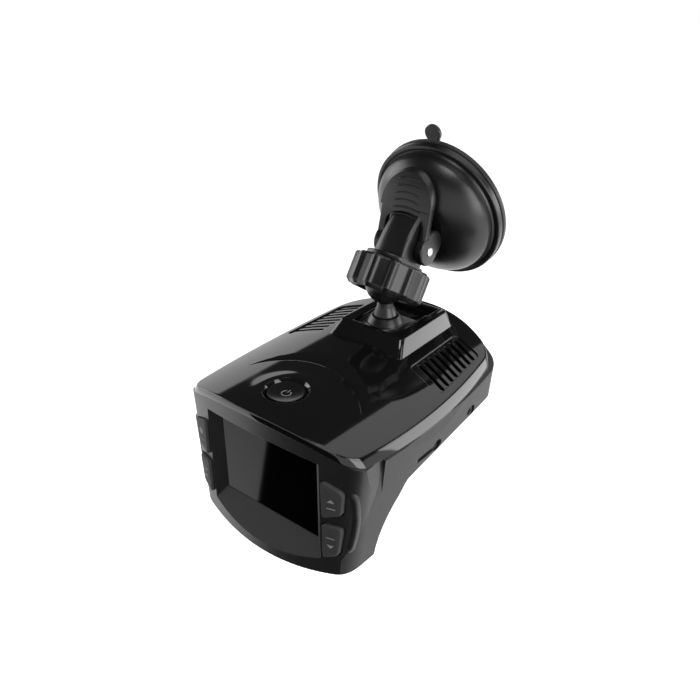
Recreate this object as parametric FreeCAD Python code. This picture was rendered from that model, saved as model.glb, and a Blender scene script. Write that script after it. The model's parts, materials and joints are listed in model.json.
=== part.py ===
import FreeCAD, Part
import math
import os

# A windscreen radar detector with a display, hung from a lever-locked suction mount.
# Everything is laid out with the display window at y = 0, +X to the driver's right, +Y to the road
# and +Z up, symmetric about x = 0. Each piece is then moved so that the origin of the part is the
# centre of the suction disc's face on the glass. Sizes are in millimetres.

os.makedirs("parts", exist_ok=True)
V = FreeCAD.Vector
far = 70.0                      # reach of cutting tools, past the outside of the housing

# Driving sizes of the housing
half_width = 42.6               # half the width at the cover's lower edge
front_y = -6.4                  # foremost point, in the middle of the front
rear_y = 99.6                   # rearmost point, in the middle of the rear
crown_z = 54.7                  # top of the crown, along the middle
crown_radius = 103.0            # the crown is a cylinder along Y
front_bow = 7.66                # the front's middle stands this far ahead of its corners, in plan
rear_bow = 11.76
side_middle = 34.0              # where the housing is widest
front_corner_in = 2.3           # front corners are this much narrower than the widest place
rear_corner_in = 3.2
front_corner_round = 8.0
rear_corner_round = 12.0
side_lean = 0.095               # sides lean in by this much for each millimetre down
lip = 2.6                       # depth of the cover's bright edge
lip_z = crown_z - 12.0          # level of the cover's lower edge at the sides
flank_lean = 0.68               # the cover's edge leans in by this much for each millimetre up
front_lean = 0.10
wall = 2.0
rear_floor_z = 19.2             # underside of the rear body at floor_start
floor_start = 34.0
floor_rise = 8.2                # the underside rises by this much to the rear
belly_round = 15.0              # rounding along the lower sides of the rear body
foot_z = -5.3                   # lowest point of the display head
foot_radius = 140.0             # bow of its lower edge
foot_round = 9.5
foot_rear_y = 11.9              # the hollow behind the foot: its three points
foot_rear_rise = 0.8
foot_middle_y = 17.9
foot_middle_z = 17.0
foot_end_z = 29.2               # at floor_start
head_narrow = 2.4               # each side of the head stands in by this much
seam_y = -0.9                   # joint between bezel and housing, at seam_z
seam_z = 5.0
seam_slope = 0.362

# Display window and its recess
window_half = 22.3
window_low = 9.0
window_high = 41.3
recess_draft = 7.0              # the recess widens by this much from the window to the front
recess_low = -1.5
recess_high = 46.0
window_thick = 1.5
window_rebate = 0.9
frame_back = 2.2                # rear face of the bezel's window frame

# Keys, as corners of the right-hand pair: distance in from half_width, and height
upper_key_corners = [(15.7, 38.4), (7.7, 35.2), (8.4, 25.8), (15.4, 22.6)]
lower_key_corners = [(15.4, 20.2), (8.1, 20.2), (9.7, 7.9), (15.4, 5.0)]
key_gap = 0.35
key_proud = 0.5
key_round = 1.2
key_travel = 0.3
key_back = 4.5                  # rear face of the keys
key_flange = 0.9

# Power button
button_y = 10.4
button_radius = 6.6
button_gap = 0.35
well_radius = 8.0
well_depth = 1.4
button_travel = 0.6
button_height = 6.5
dish_depth = 0.8

# Crescent scoop on the crown, between two circles
scoop_inner_y = -3.1
scoop_inner_radius = 34.0
scoop_outer_y = 12.3
scoop_outer_radius = 27.2
scoop_depth = 0.9

# Pedestal for the bracket
pedestal_front = 53.0
pedestal_rear = 90.0
pedestal_half = 17.3
pedestal_top_half = 14.7
pedestal_top_front = 57.8
pedestal_top_rear = 89.4
pedestal_z = 59.1
pocket_half = 9.9
pocket_front = 60.1
pocket_rear = 88.3
pocket_depth = 3.2
pocket_groove = 1.2
groove_height = 1.7
pocket_release = 80.3           # behind this the grooves are open at the top

# Air vents: one side's recess corners and first and last slot, as (distance in from half_width, y)
vent_corners = [(20.7, 52.8), (21.2, 85.2), (8.2, 82.1), (5.6, 49.4)]
vent_first = [(19.0, 57.0), (7.0, 54.0)]
vent_last = [(19.2, 81.8), (9.2, 78.6)]
vent_count = 8
vent_slot_half = 0.8
vent_recess = 0.5

# Bracket plate and ball stud
plate_gap = 0.3
plate_length = 15.8
plate_thick = 2.0
tongue_length = 7.5
tongue_height = 1.0
collar_low_radius = 7.0
collar_top_radius = 4.7
collar_height = 3.4
stud_shank = 3.0
stud_foot_radius = 4.5
stud_foot_height = 0.9
neck_low_radius = 4.5
neck_top_radius = 3.1
ball_radius = 8.0
running_gap = 0.05

# Suction mount; the disc's face looks along +Y, tipped up by glass_tilt
disc_y = 104.5
disc_z = 95.6
glass_tilt = 15.7               # degrees
disc_radius = 28.7
disc_rim = 2.0
chamber_radius = 19.0
chamber_depth = 0.8
hub_radius = 8.5
hub_height = 9.0
tab_head_radius = 4.0
tab_reach = 35.2
tab_neck_half = 2.7
tab_thick = 1.4
dome_gap = 0.3
dome_radius = 28.5
dome_band = 2.9
dome_wall = 2.0
dome_top = 18.0                 # distance of the dome's flat top from the glass
dome_top_radius = 11.5
stem_radius = 5.0
socket_lean = 35.0              # degrees from vertical to the socket's axis
socket_end_y = 71.87            # where the socket's axis passes the top of the nut
socket_end_z = 81.19
socket_wall = 2.9
arm_half = 7.6                  # half the arm's width
arm_height = 22.0               # where it meets the stem
pin_distance = 26.7             # lever pin to glass
pin_drop = 2.0                  # lever pin below the disc's axis
pin_radius = 1.8
ear_radius = 5.7
cam_reach = 8.4                 # nose of the cam, from the pin
lever_half = 11.2
lever_leg = 3.0
dome_travel = 1.8

# Clamp nut
nut_low = -4.6                  # from the ball's centre, along the socket
nut_rise = -0.2                 # top of the nut above the ball
nut_wall = 4.2
nut_valley = 1.2
nut_lobes = 12
nut_lip = 1.7
nut_mouth_gap = 2.4             # between the ball's side and the nut's mouth

# Inner pieces
board_z = 33.0
board_thick = 1.4
board_gap = 0.6
post_radius = 2.8
screw_radius = 1.1
screw_head_radius = 2.1
screw_head_height = 1.5
screw_reach = 6.0
slot_y = 38.2                   # card slot, centre
slot_length = 14.5
slot_height = 1.9
jack_y = 67.0
jack_z = 33.2
jack_bore = 1.8
jack_nose = 2.7
jack_reach = 3.2                # the nose reaches this far out from the block
jack_bore_depth = 9.0
horn_half = 16.0
horn_height = 15.4
horn_length = 28.0
horn_back = 3.4                 # behind the rear wall
camera_in = 15.6                # camera and laser window, in from half_width
camera_z = 37.4
camera_radius = 5.6
speaker_y = 50.0
speaker_radius = 13.0

origin = V(0, disc_y, disc_z)
front_radius = (half_width - front_corner_in) ** 2 / (2 * front_bow)
rear_radius = (half_width - rear_corner_in) ** 2 / (2 * rear_bow)
floor_slope = floor_rise / (rear_y - floor_start)
socket_radius = ball_radius + socket_wall
nut_high = ball_radius + nut_rise
ball_y = socket_end_y - nut_high * math.sin(math.radians(socket_lean))
ball_z = socket_end_z - nut_high * math.cos(math.radians(socket_lean))
nut_radius = socket_radius + nut_wall
nut_mouth = ball_radius + nut_mouth_gap
camera_x = camera_in - half_width
laser_x = half_width - camera_in
horn_rear = rear_y - wall - horn_back


# Shapes that several pieces share

def box(x0, x1, y0, y1, z0, z1):
    return Part.makeBox(x1 - x0, y1 - y0, z1 - z0, V(x0, y0, z0))


def rod(radius, start, length, along):
    return Part.makeCylinder(radius, length, start, along)


def arc(a, b, c):
    return Part.Arc(a, b, c).toShape()


def closed_face(points):
    return Part.Face(Part.makePolygon(points + points[:1]))


def turned(outline):
    """A solid of revolution about Z, from (radius, height) corners."""
    return closed_face([V(r, 0, z) for r, z in outline]).revolve(V(0, 0, 0), V(0, 0, 1), 360)


def across(points, half):
    """A prism along X from (y, z) corners."""
    return closed_face([V(-half, y, z) for y, z in points]).extrude(V(2 * half, 0, 0))


def lens_cap(radius, rise, place):
    """The convex part of a lens that faces the road, standing on a flat at place."""
    ball = (radius ** 2 + rise ** 2) / (2 * rise)
    turn = 0.5 * math.asin(radius / ball)
    half_way = V(ball * math.sin(turn), 0, rise - ball + ball * math.cos(turn))
    curve = arc(V(radius, 0, 0), half_way, V(0, 0, rise))
    lines = Part.makePolygon([V(0, 0, rise), V(0, 0, 0), V(radius, 0, 0)])
    cap = Part.Face(Part.Wire([curve] + lines.Edges)).revolve(V(0, 0, 0), V(0, 0, 1), 360)
    return placed(cap, place, -90)


def mirrored(shape):
    return shape.mirror(V(0, 0, 0), V(1, 0, 0))


def upright_edges(shape, low_y, high_y):
    """The edges that run mostly up and down, between two y values."""
    found = []
    for edge in shape.Edges:
        a, b = edge.Vertexes[0].Point, edge.Vertexes[-1].Point
        middle = (a + b) * 0.5
        if abs(b.z - a.z) > 0.8 * edge.Length and low_y < middle.y < high_y:
            found.append(edge)
    return found


def save(shape, node):
    moved = shape.copy()
    moved.translate(-origin)
    moved.exportStep("parts/" + node + ".step")


# Frames of the two mount axes: local +Z is towards the glass, or up the socket from the ball

def placed(shape, place, angle):
    moved = shape.copy()
    turn = FreeCAD.Placement(place, FreeCAD.Rotation(V(1, 0, 0), angle))
    moved.Placement = turn.multiply(shape.Placement)
    return moved


def at_glass(shape):
    return placed(shape, origin, glass_tilt - 90)


def at_socket(shape):
    return placed(shape, V(0, ball_y, ball_z), -socket_lean)


# The housing's outside, from which the cover, bezel and housing are all cut

def plan_wire(z, half, front, rear):
    a, b = half - front_corner_in, half - rear_corner_in
    corner_front = front + a * a / (2 * front_radius)
    corner_rear = rear - b * b / (2 * rear_radius)
    right = [V(a, corner_front, z), V(half, side_middle, z), V(b, corner_rear, z)]
    left = [V(-p.x, p.y, z) for p in reversed(right)]
    return Part.Wire([arc(left[2], V(0, front, z), right[0]), arc(*right),
                      arc(right[2], V(0, rear, z), left[0]), arc(*left)])


def plan_block(low, high, round_less):
    solid = Part.makeLoft([low, high], True, True)
    middle = (front_y + rear_y) / 2
    solid = solid.makeFillet(front_corner_round - round_less, upright_edges(solid, -far, middle))
    return solid.makeFillet(rear_corner_round - round_less, upright_edges(solid, middle, 2 * far))


def housing_plan(inset):
    low, high = foot_z - 8, crown_z + 5
    wires = []
    for z in (low, high):
        half = half_width + (z - lip_z) * side_lean - inset
        wires.append(plan_wire(z, half, front_y + inset, rear_y - inset))
    return plan_block(wires[0], wires[1], inset)


def cover_plan():
    high = crown_z + 3.4
    rise = high - lip_z
    under = 4.0
    front_low = front_y - front_lean * (crown_z - lip_z)
    high_wire = plan_wire(high, half_width - flank_lean * rise, front_low + front_lean * rise, rear_y - 1.0)
    low_wire = plan_wire(lip_z - under, half_width + flank_lean * under, front_low, rear_y + 0.2)
    return plan_block(low_wire, high_wire, 0)


def crown_level(x, drop=0.0):
    return crown_z - drop - crown_radius + math.sqrt(crown_radius ** 2 - x * x)


def under_crown(drop):
    side = far
    edge_z = crown_level(side, drop)
    top = arc(V(side, -far, edge_z), V(0, -far, crown_z - drop), V(-side, -far, edge_z))
    low = -far
    lines = Part.makePolygon([V(-side, -far, edge_z), V(-side, -far, low), V(side, -far, low),
                              V(side, -far, edge_z)])
    return Part.Face(Part.Wire([top] + lines.Edges)).extrude(V(0, 4 * far, 0))


def rear_block(inset):
    """Rear body: flat belly with rounded lower sides, rising to the rear."""
    half = half_width - 0.4 - inset
    radius = belly_round - inset
    low = rear_floor_z + inset
    start = front_y
    low -= (floor_start - start) * floor_slope
    bend = radius * math.sqrt(0.5)
    right = arc(V(half - radius, start, low), V(half - radius + bend, start, low + radius - bend),
                V(half, start, low + radius))
    left = arc(V(-half, start, low + radius), V(-half + radius - bend, start, low + radius - bend),
               V(-half + radius, start, low))
    top = crown_z + 20
    sides = Part.makePolygon([V(half, start, low + radius), V(half, start, top), V(-half, start, top),
                              V(-half, start, low + radius)])
    floor = Part.makeLine(V(-half + radius, start, low), V(half - radius, start, low))
    face = Part.Face(Part.Wire([floor, right] + sides.Edges + [left]))
    length = rear_y + 10 - start
    body = face.extrude(V(0, length, length * floor_slope))
    return body.common(box(-far, far, foot_rear_y, rear_y + 5, -far, far))


def head_block(inset):
    """Display head: bowed lower edge with round corners, and a hollow behind its foot."""
    half = half_width - head_narrow - inset
    low = foot_z + inset
    reach = half - foot_round
    rise = reach * reach / (2 * foot_radius)
    y = front_y - 5
    top = crown_z + 20
    bottom = arc(V(-half, y, low + rise + 2), V(0, y, low), V(half, y, low + rise + 2))
    sides = Part.makePolygon([V(half, y, low + rise + 2), V(half, y, top), V(-half, y, top),
                              V(-half, y, low + rise + 2)])
    block = Part.Face(Part.Wire([bottom] + sides.Edges)).extrude(V(0, 60, 0))
    edges = [e for e in block.Edges if abs(e.BoundBox.ZLength) < 0.01 and e.BoundBox.YLength > 50
             and e.BoundBox.ZMax < 20]
    block = block.makeFillet(foot_round - inset, edges)
    rear, end = foot_rear_y - inset, floor_start - inset
    a = V(-far, rear, foot_z + foot_rear_rise)
    b = V(-far, foot_middle_y - inset, foot_middle_z + inset)
    c = V(-far, end, foot_end_z + inset)
    lines = Part.makePolygon([c, V(-far, end, top), V(-far, y - 5, top), V(-far, y - 5, -far),
                              V(-far, rear, -far), a])
    profile = Part.Face(Part.Wire([arc(a, b, c)] + lines.Edges)).extrude(V(2 * far, 0, 0))
    return block.common(profile)


def body_block(inset, roofed):
    both = rear_block(inset).fuse(head_block(inset))
    solid = both.common(housing_plan(inset))
    return solid.common(under_crown(lip)) if roofed else solid


def seam_side():
    """Everything in front of the joint between bezel and housing."""
    top = 2 * far
    return across([(-far, -far), (seam_y, -far), (seam_y, seam_z),
                   (seam_y + (top - seam_z) * seam_slope, top), (-far, top)], far)


outer_block = body_block(0, True)
inner_block = body_block(wall, False)
bezel_side = seam_side()


def screw_places():
    front = V(half_width - 14.0, 26, 0)
    rear = V(16.0, rear_y - 23.6, 0)
    return [front, V(-front.x, front.y, 0), rear, V(-rear.x, rear.y, 0)]


def floor_level(y):
    return rear_floor_z + (y - floor_start) * floor_slope


# Cover

def pedestal():
    low_z = crown_z - lip
    rings = []
    for half, front, rear, z in [(pedestal_half, pedestal_front, pedestal_rear, crown_z - 1.5),
                                 (pedestal_top_half, pedestal_top_front, pedestal_top_rear, pedestal_z)]:
        rings.append(Part.makePolygon([V(-half, front, z), V(half, front, z), V(half, rear, z),
                                       V(-half, rear, z), V(-half, front, z)]))
    block = Part.makeLoft(rings, True, True)
    corners = [e for e in block.Edges if e.BoundBox.ZLength > pedestal_z - crown_z]
    block = block.makeFillet(2.0, corners)
    root = box(-pedestal_half + 2, pedestal_half - 2, pedestal_front + 2, pedestal_rear - 2, low_z,
               crown_z - 1.0)
    return block.fuse(root)


def bracket_pocket():
    floor = pedestal_z - pocket_depth
    wide = pocket_half + pocket_groove
    pocket = box(-pocket_half, pocket_half, pocket_front, pocket_rear, floor, far)
    pocket = pocket.fuse(box(-wide, wide, pocket_front, pocket_rear, floor, floor + groove_height))
    return pocket.fuse(box(-wide, wide, pocket_release, pocket_rear, floor, far))


def vent_cuts():
    recess = closed_face([V(half_width - x, y, 0) for x, y in vent_corners]).extrude(V(0, 0, far))
    recess = recess.cut(under_crown(vent_recess))
    cuts = recess.fuse(mirrored(recess))
    for i in range(vent_count):
        share = i / (vent_count - 1)
        ends = [V(half_width - a[0] - (b[0] - a[0]) * share, a[1] + (b[1] - a[1]) * share, crown_z - 15)
                for a, b in zip(vent_first, vent_last)]
        run = ends[1] - ends[0]
        side = V(-run.y, run.x, 0).normalize() * vent_slot_half
        slot = closed_face([ends[0] + side, ends[0] - side, ends[1] - side, ends[1] + side])
        slot = slot.extrude(V(0, 0, 30))
        for end in ends:
            slot = slot.fuse(rod(vent_slot_half, end, 30, V(0, 0, 1)))
        cuts = cuts.fuse([slot, mirrored(slot)])
    return cuts


def scoop_cut():
    start = V(0, scoop_outer_y, 0)
    outside = rod(scoop_outer_radius, start, far, V(0, 0, 1))
    inside = rod(scoop_inner_radius, V(0, scoop_inner_y, 0), far, V(0, 0, 1))
    return outside.cut(inside).cut(under_crown(scoop_depth))


def button_well():
    hole = rod(button_radius + button_gap, V(0, button_y, 0), far, V(0, 0, 1))
    flare = Part.makeCone(button_radius + button_gap, well_radius + 0.6, well_depth + 0.6,
                          V(0, button_y, crown_z - well_depth), V(0, 0, 1))
    return hole.fuse(flare)


def post_end(place):
    return floor_level(place.y) + wall + 3.0


def button_posts():
    return [V(x, button_y + 7.6, 0) for x in (-6.0, 6.0)]


def top_cover():
    cover = cover_plan().common(under_crown(0)).cut(under_crown(lip))
    cover = cover.fuse(pedestal()).cut(bracket_pocket()).cut(vent_cuts()).cut(scoop_cut())
    cover = cover.cut(button_well())
    roof = under_crown(lip - 0.3)
    for place in screw_places():
        low = post_end(place)
        post = rod(post_radius, V(place.x, place.y, low), far, V(0, 0, 1)).common(roof)
        hole = rod(screw_radius + 0.02, V(place.x, place.y, low), screw_reach, V(0, 0, 1))
        cover = cover.fuse(post).cut(hole)
    for place in button_posts():
        low = V(place.x, place.y, switch_board_z + board_thick)
        cover = cover.fuse(rod(1.6, low, far, V(0, 0, 1)).common(roof))
    return cover.removeSplitter()


# Bezel and housing

def recess_cut():
    """Space in front of the window, which widens to the front."""
    reach = 9.0
    depth = -front_y
    spread = recess_draft * reach / depth
    low = window_low + (recess_low - window_low) * reach / depth
    high = window_high + (recess_high - window_high) * reach / depth
    rings = []
    for y, half, z0, z1 in [(0, window_half, window_low, window_high),
                            (-reach, window_half + spread, low, high)]:
        rings.append(Part.makePolygon([V(-half, y, z0), V(half, y, z0), V(half, y, z1), V(-half, y, z1),
                                       V(-half, y, z0)]))
    cut = Part.makeLoft(rings, True, True)
    opening = box(-window_half, window_half, -0.1, frame_back + 1, window_low, window_high)
    return cut.fuse(opening)


def window_seat(gap):
    half = window_half + window_rebate - gap
    return (-half, half, window_low - window_rebate + gap, window_high + window_rebate - gap)


def key_corners(corners):
    return [(half_width - inward, z) for inward, z in corners]


upper_key = key_corners(upper_key_corners)
lower_key = key_corners(lower_key_corners)


def key_outline(corners, grow):
    y = front_y - 3
    prism = closed_face([V(x, y, z) for x, z in corners]).extrude(V(0, 14, 0))
    edges = [e for e in prism.Edges if e.BoundBox.YLength > 13]
    prism = prism.makeFillet(key_round, edges)
    if grow == 0:
        return prism
    front = [f for f in prism.Faces if f.BoundBox.YLength < 0.01][0]
    return front.makeOffset2D(grow).extrude(V(0, 14 if front.BoundBox.YMax < 0 else -14, 0))


def key_holes():
    holes = [key_outline(corners, key_gap) for corners in (upper_key, lower_key)]
    return holes + [mirrored(hole) for hole in holes]


def front_bezel():
    shell = outer_block.common(bezel_side).cut(inner_block)
    frame = box(-window_half - 4, window_half + 4, front_y - 2, frame_back, -far, window_high + 5)
    bezel = shell.fuse(frame.common(inner_block)).cut(recess_cut())
    x0, x1, z0, z1 = window_seat(0)
    bezel = bezel.cut(box(x0, x1, 0, frame_back + 1, z0, z1))
    return bezel.cut(key_holes()).removeSplitter()


def display_window():
    x0, x1, z0, z1 = window_seat(0.1)
    return box(x0, x1, 0, window_thick, z0, z1)


def rear_opening(gap):
    half = half_width - 8.0 - gap
    low = floor_level(rear_y) + 2.6 + gap
    high = crown_level(half, lip) - 2.4 - gap
    return box(-half, half, rear_y - 25, rear_y + 5, low, high)


def side_cuts():
    """Card slot and power inlet, through the right side."""
    x = half_width - 8
    slot_z = board_z - slot_height
    slot = box(x, far, slot_y - slot_length / 2, slot_y + slot_length / 2, slot_z, board_z)
    thumb = rod(2.4, V(half_width - 2.4, slot_y + slot_length / 2 - 2.4, slot_z + slot_height / 2), 10,
                V(1, 0, 0))
    inlet = rod(jack_nose + 0.15, V(x, jack_y - 0.4, jack_z), far, V(1, 0, 0))
    inlet = inlet.fuse(rod(jack_nose + 0.15, V(x, jack_y + 0.4, jack_z), far, V(1, 0, 0)))
    return slot.fuse([thumb, inlet])


def speaker_holes():
    holes = []
    for ring, count in ((0.0, 1), (3.6, 6), (7.2, 12)):
        for i in range(count):
            turn = 2 * math.pi * i / count
            place = V(ring * math.cos(turn), speaker_y + ring * math.sin(turn), 0)
            holes.append(rod(0.9, place, floor_level(speaker_y) + 5, V(0, 0, 1)))
    return holes


def lower_housing():
    tub = outer_block.cut(bezel_side).cut(inner_block)
    tub = tub.cut(rear_opening(0)).cut(side_cuts()).cut(key_holes())
    seat = rod(speaker_radius, V(0, speaker_y, 0), speaker_z(), V(0, 0, 1))
    seat = seat.cut(rod(speaker_radius - 1.5, V(0, speaker_y, -1), far, V(0, 0, 1)))
    tub = tub.fuse(seat.common(inner_block))
    for place in screw_places():
        base = V(place.x, place.y, 0)
        pad = rod(post_radius + 0.6, base, post_end(place), V(0, 0, 1)).common(inner_block)
        head = rod(screw_head_radius + 0.15, base, screw_head_z(place) + screw_head_height, V(0, 0, 1))
        tub = tub.fuse(pad).cut(rod(screw_radius + 0.2, base, far, V(0, 0, 1))).cut(head)
    return tub.cut(speaker_holes()).removeSplitter()


def screw_head_z(place):
    return floor_level(place.y) + 0.6


def housing_screws():
    screws = []
    for place in screw_places():
        low = screw_head_z(place)
        head = rod(screw_head_radius, V(place.x, place.y, low), screw_head_height, V(0, 0, 1))
        cross = box(-1.3, 1.3, -0.3, 0.3, -0.1, 0.7).fuse(box(-0.3, 0.3, -1.3, 1.3, -0.1, 0.7))
        cross.translate(V(place.x, place.y, low))
        length = post_end(place) + screw_reach - 1.0 - low
        shank = rod(screw_radius, V(place.x, place.y, low), length, V(0, 0, 1))
        screws.append(head.fuse(shank).cut(cross))
    return Part.makeCompound(screws)


def rear_window():
    band = body_block(0.3, True).cut(body_block(wall, False)).common(rear_opening(0.1))
    return band.cut(rod(camera_radius + 0.3, V(camera_x, 0, camera_z), 2 * far, V(0, 1, 0)))


# Keys and buttons

def key(corners):
    """One key: a proud cap through the bezel and a flange behind it."""
    face = housing_plan(-key_proud)
    cap = key_outline(corners, 0).common(face)
    cap = cap.common(box(-far, far, -far, key_back, -far, far))
    xs = [x for x, z in corners]
    zs = [z for x, z in corners]
    flange = box(min(xs) - 0.6, max(xs) + 0.6, key_back - key_flange, key_back, min(zs) - 0.8, max(zs) + 0.8)
    return cap.fuse(flange.common(body_block(wall + 0.4, False)))


def key_center(corners):
    xs = [x for x, z in corners]
    zs = [z for x, z in corners]
    return V((min(xs) + max(xs)) / 2, 0, sum(zs) / len(zs))


def key_switches():
    switches = []
    for corners in (upper_key, lower_key):
        middle = key_center(corners)
        for side in (-1, 1):
            x, z = side * middle.x, middle.z
            base = box(x - 2.2, x + 2.2, front_board_y - 1.4, front_board_y, z - 2.2, z + 2.2)
            top = key_back + key_travel + 0.1
            plunger = rod(1.2, V(x, top, z), front_board_y - 1.4 - top, V(0, 1, 0))
            switches.append(base.fuse(plunger))
    return Part.makeCompound(switches)


def power_button():
    top = crown_z - 0.3
    cap = rod(button_radius, V(0, button_y, top - button_height), button_height, V(0, 0, 1))
    bowl = (button_radius ** 2 + dish_depth ** 2) / (2 * dish_depth)
    dish = Part.makeSphere(bowl, V(0, button_y, top + bowl - dish_depth))
    rim = rod(button_radius + 1.2, V(0, button_y, top - button_height), 1.0, V(0, 0, 1))
    return cap.cut(dish).fuse(rim)


def power_switch():
    low = switch_board_z + board_thick
    high = crown_z - 0.3 - button_height - button_travel - 0.1
    base = box(-3, 3, button_y - 3, button_y + 3, low, low + 1.6)
    return base.fuse(rod(1.6, V(0, button_y, low + 1.6), high - low - 1.6, V(0, 0, 1)))


def button_board():
    return box(-10, 10, button_y - 5, button_y + 10.5, switch_board_z, switch_board_z + board_thick)


# Electronics

def display_panel():
    return box(-window_half - 0.8, window_half + 0.8, window_thick, panel_back, window_low - 0.8,
               window_high + 0.8)


def display_frame():
    outside = box(-window_half - 1.6, window_half + 1.6, panel_back, panel_back + 1.6, window_low - 1.6,
                  window_high + 1.6)
    slots = [box(x - 4, x + 4, panel_back - 1, far, window_low + 4, window_low + 6) for x in (-12, 0, 12)]
    return outside.cut(slots)


def front_board():
    board = box(-half_width + 8, half_width - 8, front_board_y, front_board_y + board_thick, 4.0, 40.0)
    notch = box(-half_width + 5, -half_width + 12, 0, far, 3, 9)
    return board.cut([notch, mirrored(notch)])


def main_board():
    margin = wall + board_gap
    high = board_z + board_thick
    board = body_block(margin, False).common(box(-far, far, 16, rear_y - 9, board_z, high))
    board = board.cut(box(jack_face() - 12.1, far, jack_y - 4.2, jack_y + 4.2, board_z - 1, high + 1))
    side = camera_radius + 1.5
    board = board.cut(box(camera_x - side, camera_x + side, camera_front() - 16.0, rear_y, board_z - 1,
                          high + 1))
    for place in screw_places():
        board = board.cut(rod(post_radius + 0.9, V(place.x, place.y, 0), far, V(0, 0, 1)))
    return board


def processor():
    z = board_z + board_thick
    return box(-24, -10, 38, 52, z, z + 1.4)


def heat_sink():
    z = board_z + board_thick + 1.4
    base = box(-26, -8, 36, 54, z, z + 1.5)
    fins = [box(-26 + 2.4 * i, -25 + 2.4 * i, 36, 54, z + 1.5, z + 7.5) for i in range(8)]
    return base.fuse(fins)


def gps_antenna():
    z = board_z + board_thick
    patch = box(10, 28, 32, 50, z, z + 4.0)
    pad = box(12.5, 25.5, 34.5, 47.5, z + 4.0, z + 4.1)
    return patch.fuse(pad).cut(rod(0.6, V(18, 41, z - 1), 10, V(0, 0, 1)))


def card_socket():
    inner = half_width - 15.5
    outer_x = half_width - wall - 1.2
    half = slot_length / 2 - 0.6
    socket = box(inner, outer_x, slot_y - half, slot_y + half, board_z - slot_height, board_z)
    mouth = box(inner + 2, outer_x + 1, slot_y - half + 0.8, slot_y + half - 0.8,
                board_z - slot_height + 0.4, board_z - 0.5)
    return socket.cut(mouth)


def jack_face():
    return half_width - wall - 4.0


def power_jack():
    """Block on the board with a round nose in the inlet; the bore takes the plug."""
    face = jack_face()
    block = box(face - 11.5, face, jack_y - 3.6, jack_y + 3.6, jack_z - 3.2, jack_z + 3.2)
    block = block.fuse(rod(jack_nose, V(face - 1, jack_y, jack_z), 1 + jack_reach, V(1, 0, 0)))
    start = V(face + jack_reach - jack_bore_depth, jack_y, jack_z)
    return block.cut(rod(jack_bore, start, far, V(1, 0, 0)))


def horn_antenna():
    """Cast horn, open to the rear wall, on the main board."""
    z = board_z + board_thick
    rear = horn_rear
    front = rear - horn_length
    middle = z + horn_height / 2
    rings = {}
    for shrink in (0.0, 1.3):
        small = Part.makePolygon([V(x * (6.5 - shrink), front, middle + s * (5.0 - shrink))
                                  for x, s in [(-1, -1), (1, -1), (1, 1), (-1, 1), (-1, -1)]])
        reach = horn_height / 2 - shrink
        big = Part.makePolygon([V(x * (horn_half - shrink), rear, middle + s * reach)
                                for x, s in [(-1, -1), (1, -1), (1, 1), (-1, 1), (-1, -1)]])
        rings[shrink] = Part.makeLoft([small, big], True, True)
    flange = box(-10, 10, front - 2.5, front, z, z + 14.0)
    tunnel = box(-5.2, 5.2, front - 1.2, front + 0.1, middle - 3.7, middle + 3.7)
    foot = box(-5, 5, front, rear - 3, z, middle)
    horn = rings[0.0].fuse([flange, foot])
    return horn.cut(rings[1.3]).cut(tunnel)


def mixer_board():
    z = board_z + board_thick
    front = horn_rear - horn_length - 2.5
    return box(-13, 13, front - 1.2, front, z, z + 14.5)


def mixer_shield():
    z = board_z + board_thick
    front = horn_rear - horn_length - 3.7
    can = box(-10.5, 10.5, front - 3.6, front, z + 1.5, z + 13.0)
    return can.cut(box(-10.2, 10.2, front - 3.3, front + 1, z + 1.8, z + 12.7))


def camera_front():
    return rear_y - camera_x ** 2 / (2 * rear_radius)


def camera_barrel():
    start = camera_front() - 13.0
    barrel = rod(camera_radius, V(camera_x, start, camera_z), 14.2, V(0, 1, 0))
    side = camera_radius + 0.9
    block = box(camera_x - side, camera_x + side, start - 3, start, camera_z - side, camera_z + side)
    bore = rod(camera_radius - 1.6, V(camera_x, start + 12.6, camera_z), 5, V(0, 1, 0))
    return barrel.fuse(block).cut(bore)


def camera_lens():
    start = camera_front() - 0.4
    radius = camera_radius - 1.65
    disc = rod(radius, V(camera_x, start, camera_z), 0.8, V(0, 1, 0))
    return disc.fuse(lens_cap(radius, 0.5, V(camera_x, start + 0.8, camera_z)))


def camera_board():
    back = camera_front() - 16.0
    return box(camera_x - 8, camera_x + 8, back - 1.2, back, board_z + board_thick, camera_z + 7.4)


def laser_lens():
    front = rear_y - laser_x ** 2 / (2 * rear_radius) - wall - 3.2
    plate = box(laser_x - 6, laser_x + 6, front - 1.4, front, board_z + board_thick, board_z + 13.4)
    return plate.fuse(lens_cap(4.6, 1.6, V(laser_x, front, board_z + 7.4)))


def laser_sensor():
    front = rear_y - laser_x ** 2 / (2 * rear_radius) - 14.0
    z = board_z + board_thick
    board = box(laser_x - 5, laser_x + 5, front - 1.0, front, z, z + 11)
    return board.fuse(box(laser_x - 2, laser_x + 2, front, front + 1.2, z + 4.2, z + 8.2))


def speaker_z():
    return floor_level(speaker_y) + wall + 2.2


def speaker():
    z = speaker_z()
    rim = rod(speaker_radius, V(0, speaker_y, z), 1.2, V(0, 0, 1))
    basket = Part.makeCone(speaker_radius - 1.6, 6.5, 1.9, V(0, speaker_y, z + 1.2), V(0, 0, 1))
    magnet = rod(6.5, V(0, speaker_y, z + 3.1), 1.6, V(0, 0, 1))
    cone = Part.makeCone(speaker_radius - 1.8, 4.0, 2.2, V(0, speaker_y, z - 0.01), V(0, 0, 1))
    return rim.fuse([basket, magnet]).cut(cone)


def battery():
    low = floor_level(88) + wall + 0.4
    return box(-12, 12, 65, 87, low, board_z)


# Bracket

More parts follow.
